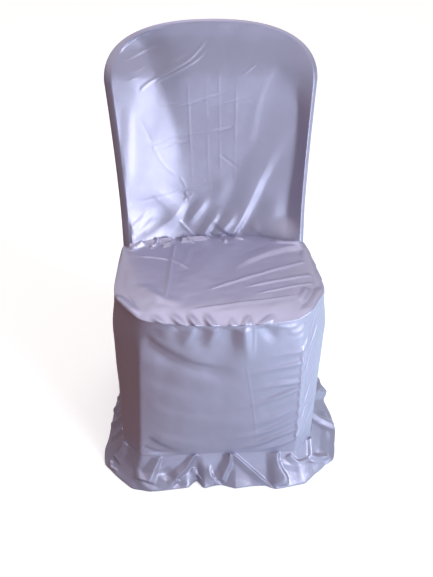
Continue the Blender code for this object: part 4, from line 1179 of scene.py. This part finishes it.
# Studio: a pale floor, soft light, and the camera.
studio = {
    "floorSize": 24.0, "floorColour": (0.95, 0.965, 1.0), "floorGlow": 0.16, "floorRoughness": 0.9,
    "bounceLeft": (0.22, 0.09, 0.05), "bounceRight": (0.76, 0.94, 1.00),   # the floor as the cloth sees it
    "bounceAcross": (1.0, 0.12, 0.0), "bounceFrom": -0.37, "bounceTo": 0.27,
    "wallColour": (0.97, 0.97, 0.98), "wallRadius": 11.5, "wallHeight": 14.0, "wallSides": 64,
    "worldColour": (1.0, 0.80, 0.75), "worldStrength": 0.13,
    "lights": (  # name, place, aims at, width and height, watts, colour
        ("key light", (1.80, -1.75, 1.30), (0.0, 0.0, 0.45), (1.3, 1.5), 77.0, (0.90, 0.975, 1.0)),
        ("low front light", (0.20, -3.00, 0.28), (0.0, 0.0, 0.25), (2.2, 0.5), 12.2, (0.75, 0.88, 1.0)),
    ),
    "suns": (  # name, direction it comes from, irradiance, spread in degrees, colour
        ("top light", (-0.12, 0.20, 1.0), 0.45, 30.0, (1.0, 0.98, 1.0)),
        ("ceiling", (-0.15, 0.35, 1.0), 2.1, 110.0, (1.0, 0.955, 0.90)),
        ("left fill", (-1.0, -0.35, 0.35), 0.17, 60.0, (1.0, 0.66, 0.74)),
    ),
    "eye": (-0.0735, -1.3253, 1.2491),
    "eyeTurn": -0.0481, "eyeTilt": 0.5954, "eyeRoll": 0.0036,   # radians
    "lens": 43.67,
}


def stageMesh(name, points, faces, material):
    # An object of the studio from a few points.
    mesh = bpy.data.meshes.new(name)
    mesh.from_pydata(points, [], faces)
    mesh.materials.append(material)
    return addObject(name, mesh)


def makeFloor():
    # Pale to the camera; the cloth sees it as a plain matt floor that changes its tint from left to right.
    material, tree = emptyMaterial("paleFloor")
    seen = addNode(tree, "ShaderNodeBsdfPrincipled", {
        "Base Color": (*studio["floorColour"], 1.0), "Roughness": studio["floorRoughness"],
        "Emission Color": (1.0, 1.0, 1.0, 1.0), "Emission Strength": studio["floorGlow"]})
    place = addNode(tree, "ShaderNodeTexCoord").outputs["Object"]
    across = addNode(tree, "ShaderNodeVectorMath", {
        0: place, 1: studio["bounceAcross"]}, operation="DOT_PRODUCT")
    toRight = addNode(tree, "ShaderNodeMapRange", {
        "Value": across.outputs["Value"], "From Min": studio["bounceFrom"], "From Max": studio["bounceTo"]})
    paintedLightAndShade = addNode(tree, "ShaderNodeMix", {
        "Factor": toRight.outputs["Result"], mixFrom: (*studio["bounceLeft"], 1.0),
        mixTo: (*studio["bounceRight"], 1.0)}, data_type="RGBA")
    bounced = addNode(tree, "ShaderNodeBsdfDiffuse", {"Color": paintedLightAndShade.outputs[mixResult]})
    path = addNode(tree, "ShaderNodeLightPath")
    both = addNode(tree, "ShaderNodeMixShader", {
        0: path.outputs["Is Camera Ray"], 1: bounced.outputs[0], 2: seen.outputs[0]})
    addNode(tree, "ShaderNodeOutputMaterial", {"Surface": both.outputs[0]})
    half = 0.5 * studio["floorSize"]
    corners = [(-half, -half, 0), (half, -half, 0), (half, half, 0), (-half, half, 0)]
    floor = stageMesh("studioFloor", corners, [(0, 1, 2, 3)], material)


def makeBackdrop():
    # A pale wall far off, so that level views have a plain background. Only the camera sees it.
    material, tree = emptyMaterial("paleWall")
    glow = addNode(tree, "ShaderNodeEmission", {"Color": (*studio["wallColour"], 1.0)})
    addNode(tree, "ShaderNodeOutputMaterial", {"Surface": glow.outputs[0]})
    angle = np.linspace(0.0, 2.0 * np.pi, studio["wallSides"], endpoint=False)
    ring = studio["wallRadius"] * pair(np.cos(angle), np.sin(angle))
    low, high = (np.column_stack([ring, np.full(len(ring), z)]) for z in (0.0, studio["wallHeight"]))
    here = np.arange(len(ring))
    following = np.roll(here, -1)
    faces = np.stack([following, here, here + len(ring), following + len(ring)], axis=-1)
    wall = stageMesh("studioWall", np.vstack([low, high]).tolist(), faces.tolist(), material)
    wall.visible_diffuse = wall.visible_glossy = wall.visible_shadow = False


def aim(lamp, place, target):
    # Turns a lamp, which shines along its own -z, to its target.
    lamp.location = place
    lamp.rotation_euler = (Vector(target) - Vector(place)).to_track_quat("-Z", "Y").to_euler()


def makeLights():
    # A faint world, soft boxes and wide suns.
    world = bpy.data.worlds.new("studioWorld")
    world.use_nodes = True
    background = world.node_tree.nodes["Background"].inputs
    background["Color"].default_value = (*studio["worldColour"], 1.0)
    background["Strength"].default_value = studio["worldStrength"]
    bpy.context.scene.world = world
    for name, place, target, (width, height), watts, colour in studio["lights"]:
        light = bpy.data.lights.new(name, "AREA")
        light.shape = "RECTANGLE"
        light.size, light.size_y = width, height
        light.energy, light.color = watts, colour
        aim(addObject(name, light), place, target)
    for name, direction, strength, spread, colour in studio["suns"]:
        light = bpy.data.lights.new(name, "SUN")
        light.energy, light.color, light.angle = strength, colour, math.radians(spread)
        aim(addObject(name, light), direction, (0.0, 0.0, 0.0))


def makeCamera():
    # Turned about z, tilted down and rolled a little.
    camera = addObject("camera", bpy.data.cameras.new("camera"))
    camera.data.lens = studio["lens"]
    camera.matrix_world = (Matrix.Translation(studio["eye"]) @ Matrix.Rotation(studio["eyeTurn"], 4, "Z")
                           @ Matrix.Rotation(0.5 * math.pi - studio["eyeTilt"], 4, "X")
                           @ Matrix.Rotation(studio["eyeRoll"], 4, "Z"))
    bpy.context.scene.camera = camera


makeFloor()
makeBackdrop()
makeLights()
makeCamera()
bpy.context.scene.view_settings.view_transform = "Standard"
print("studio made")
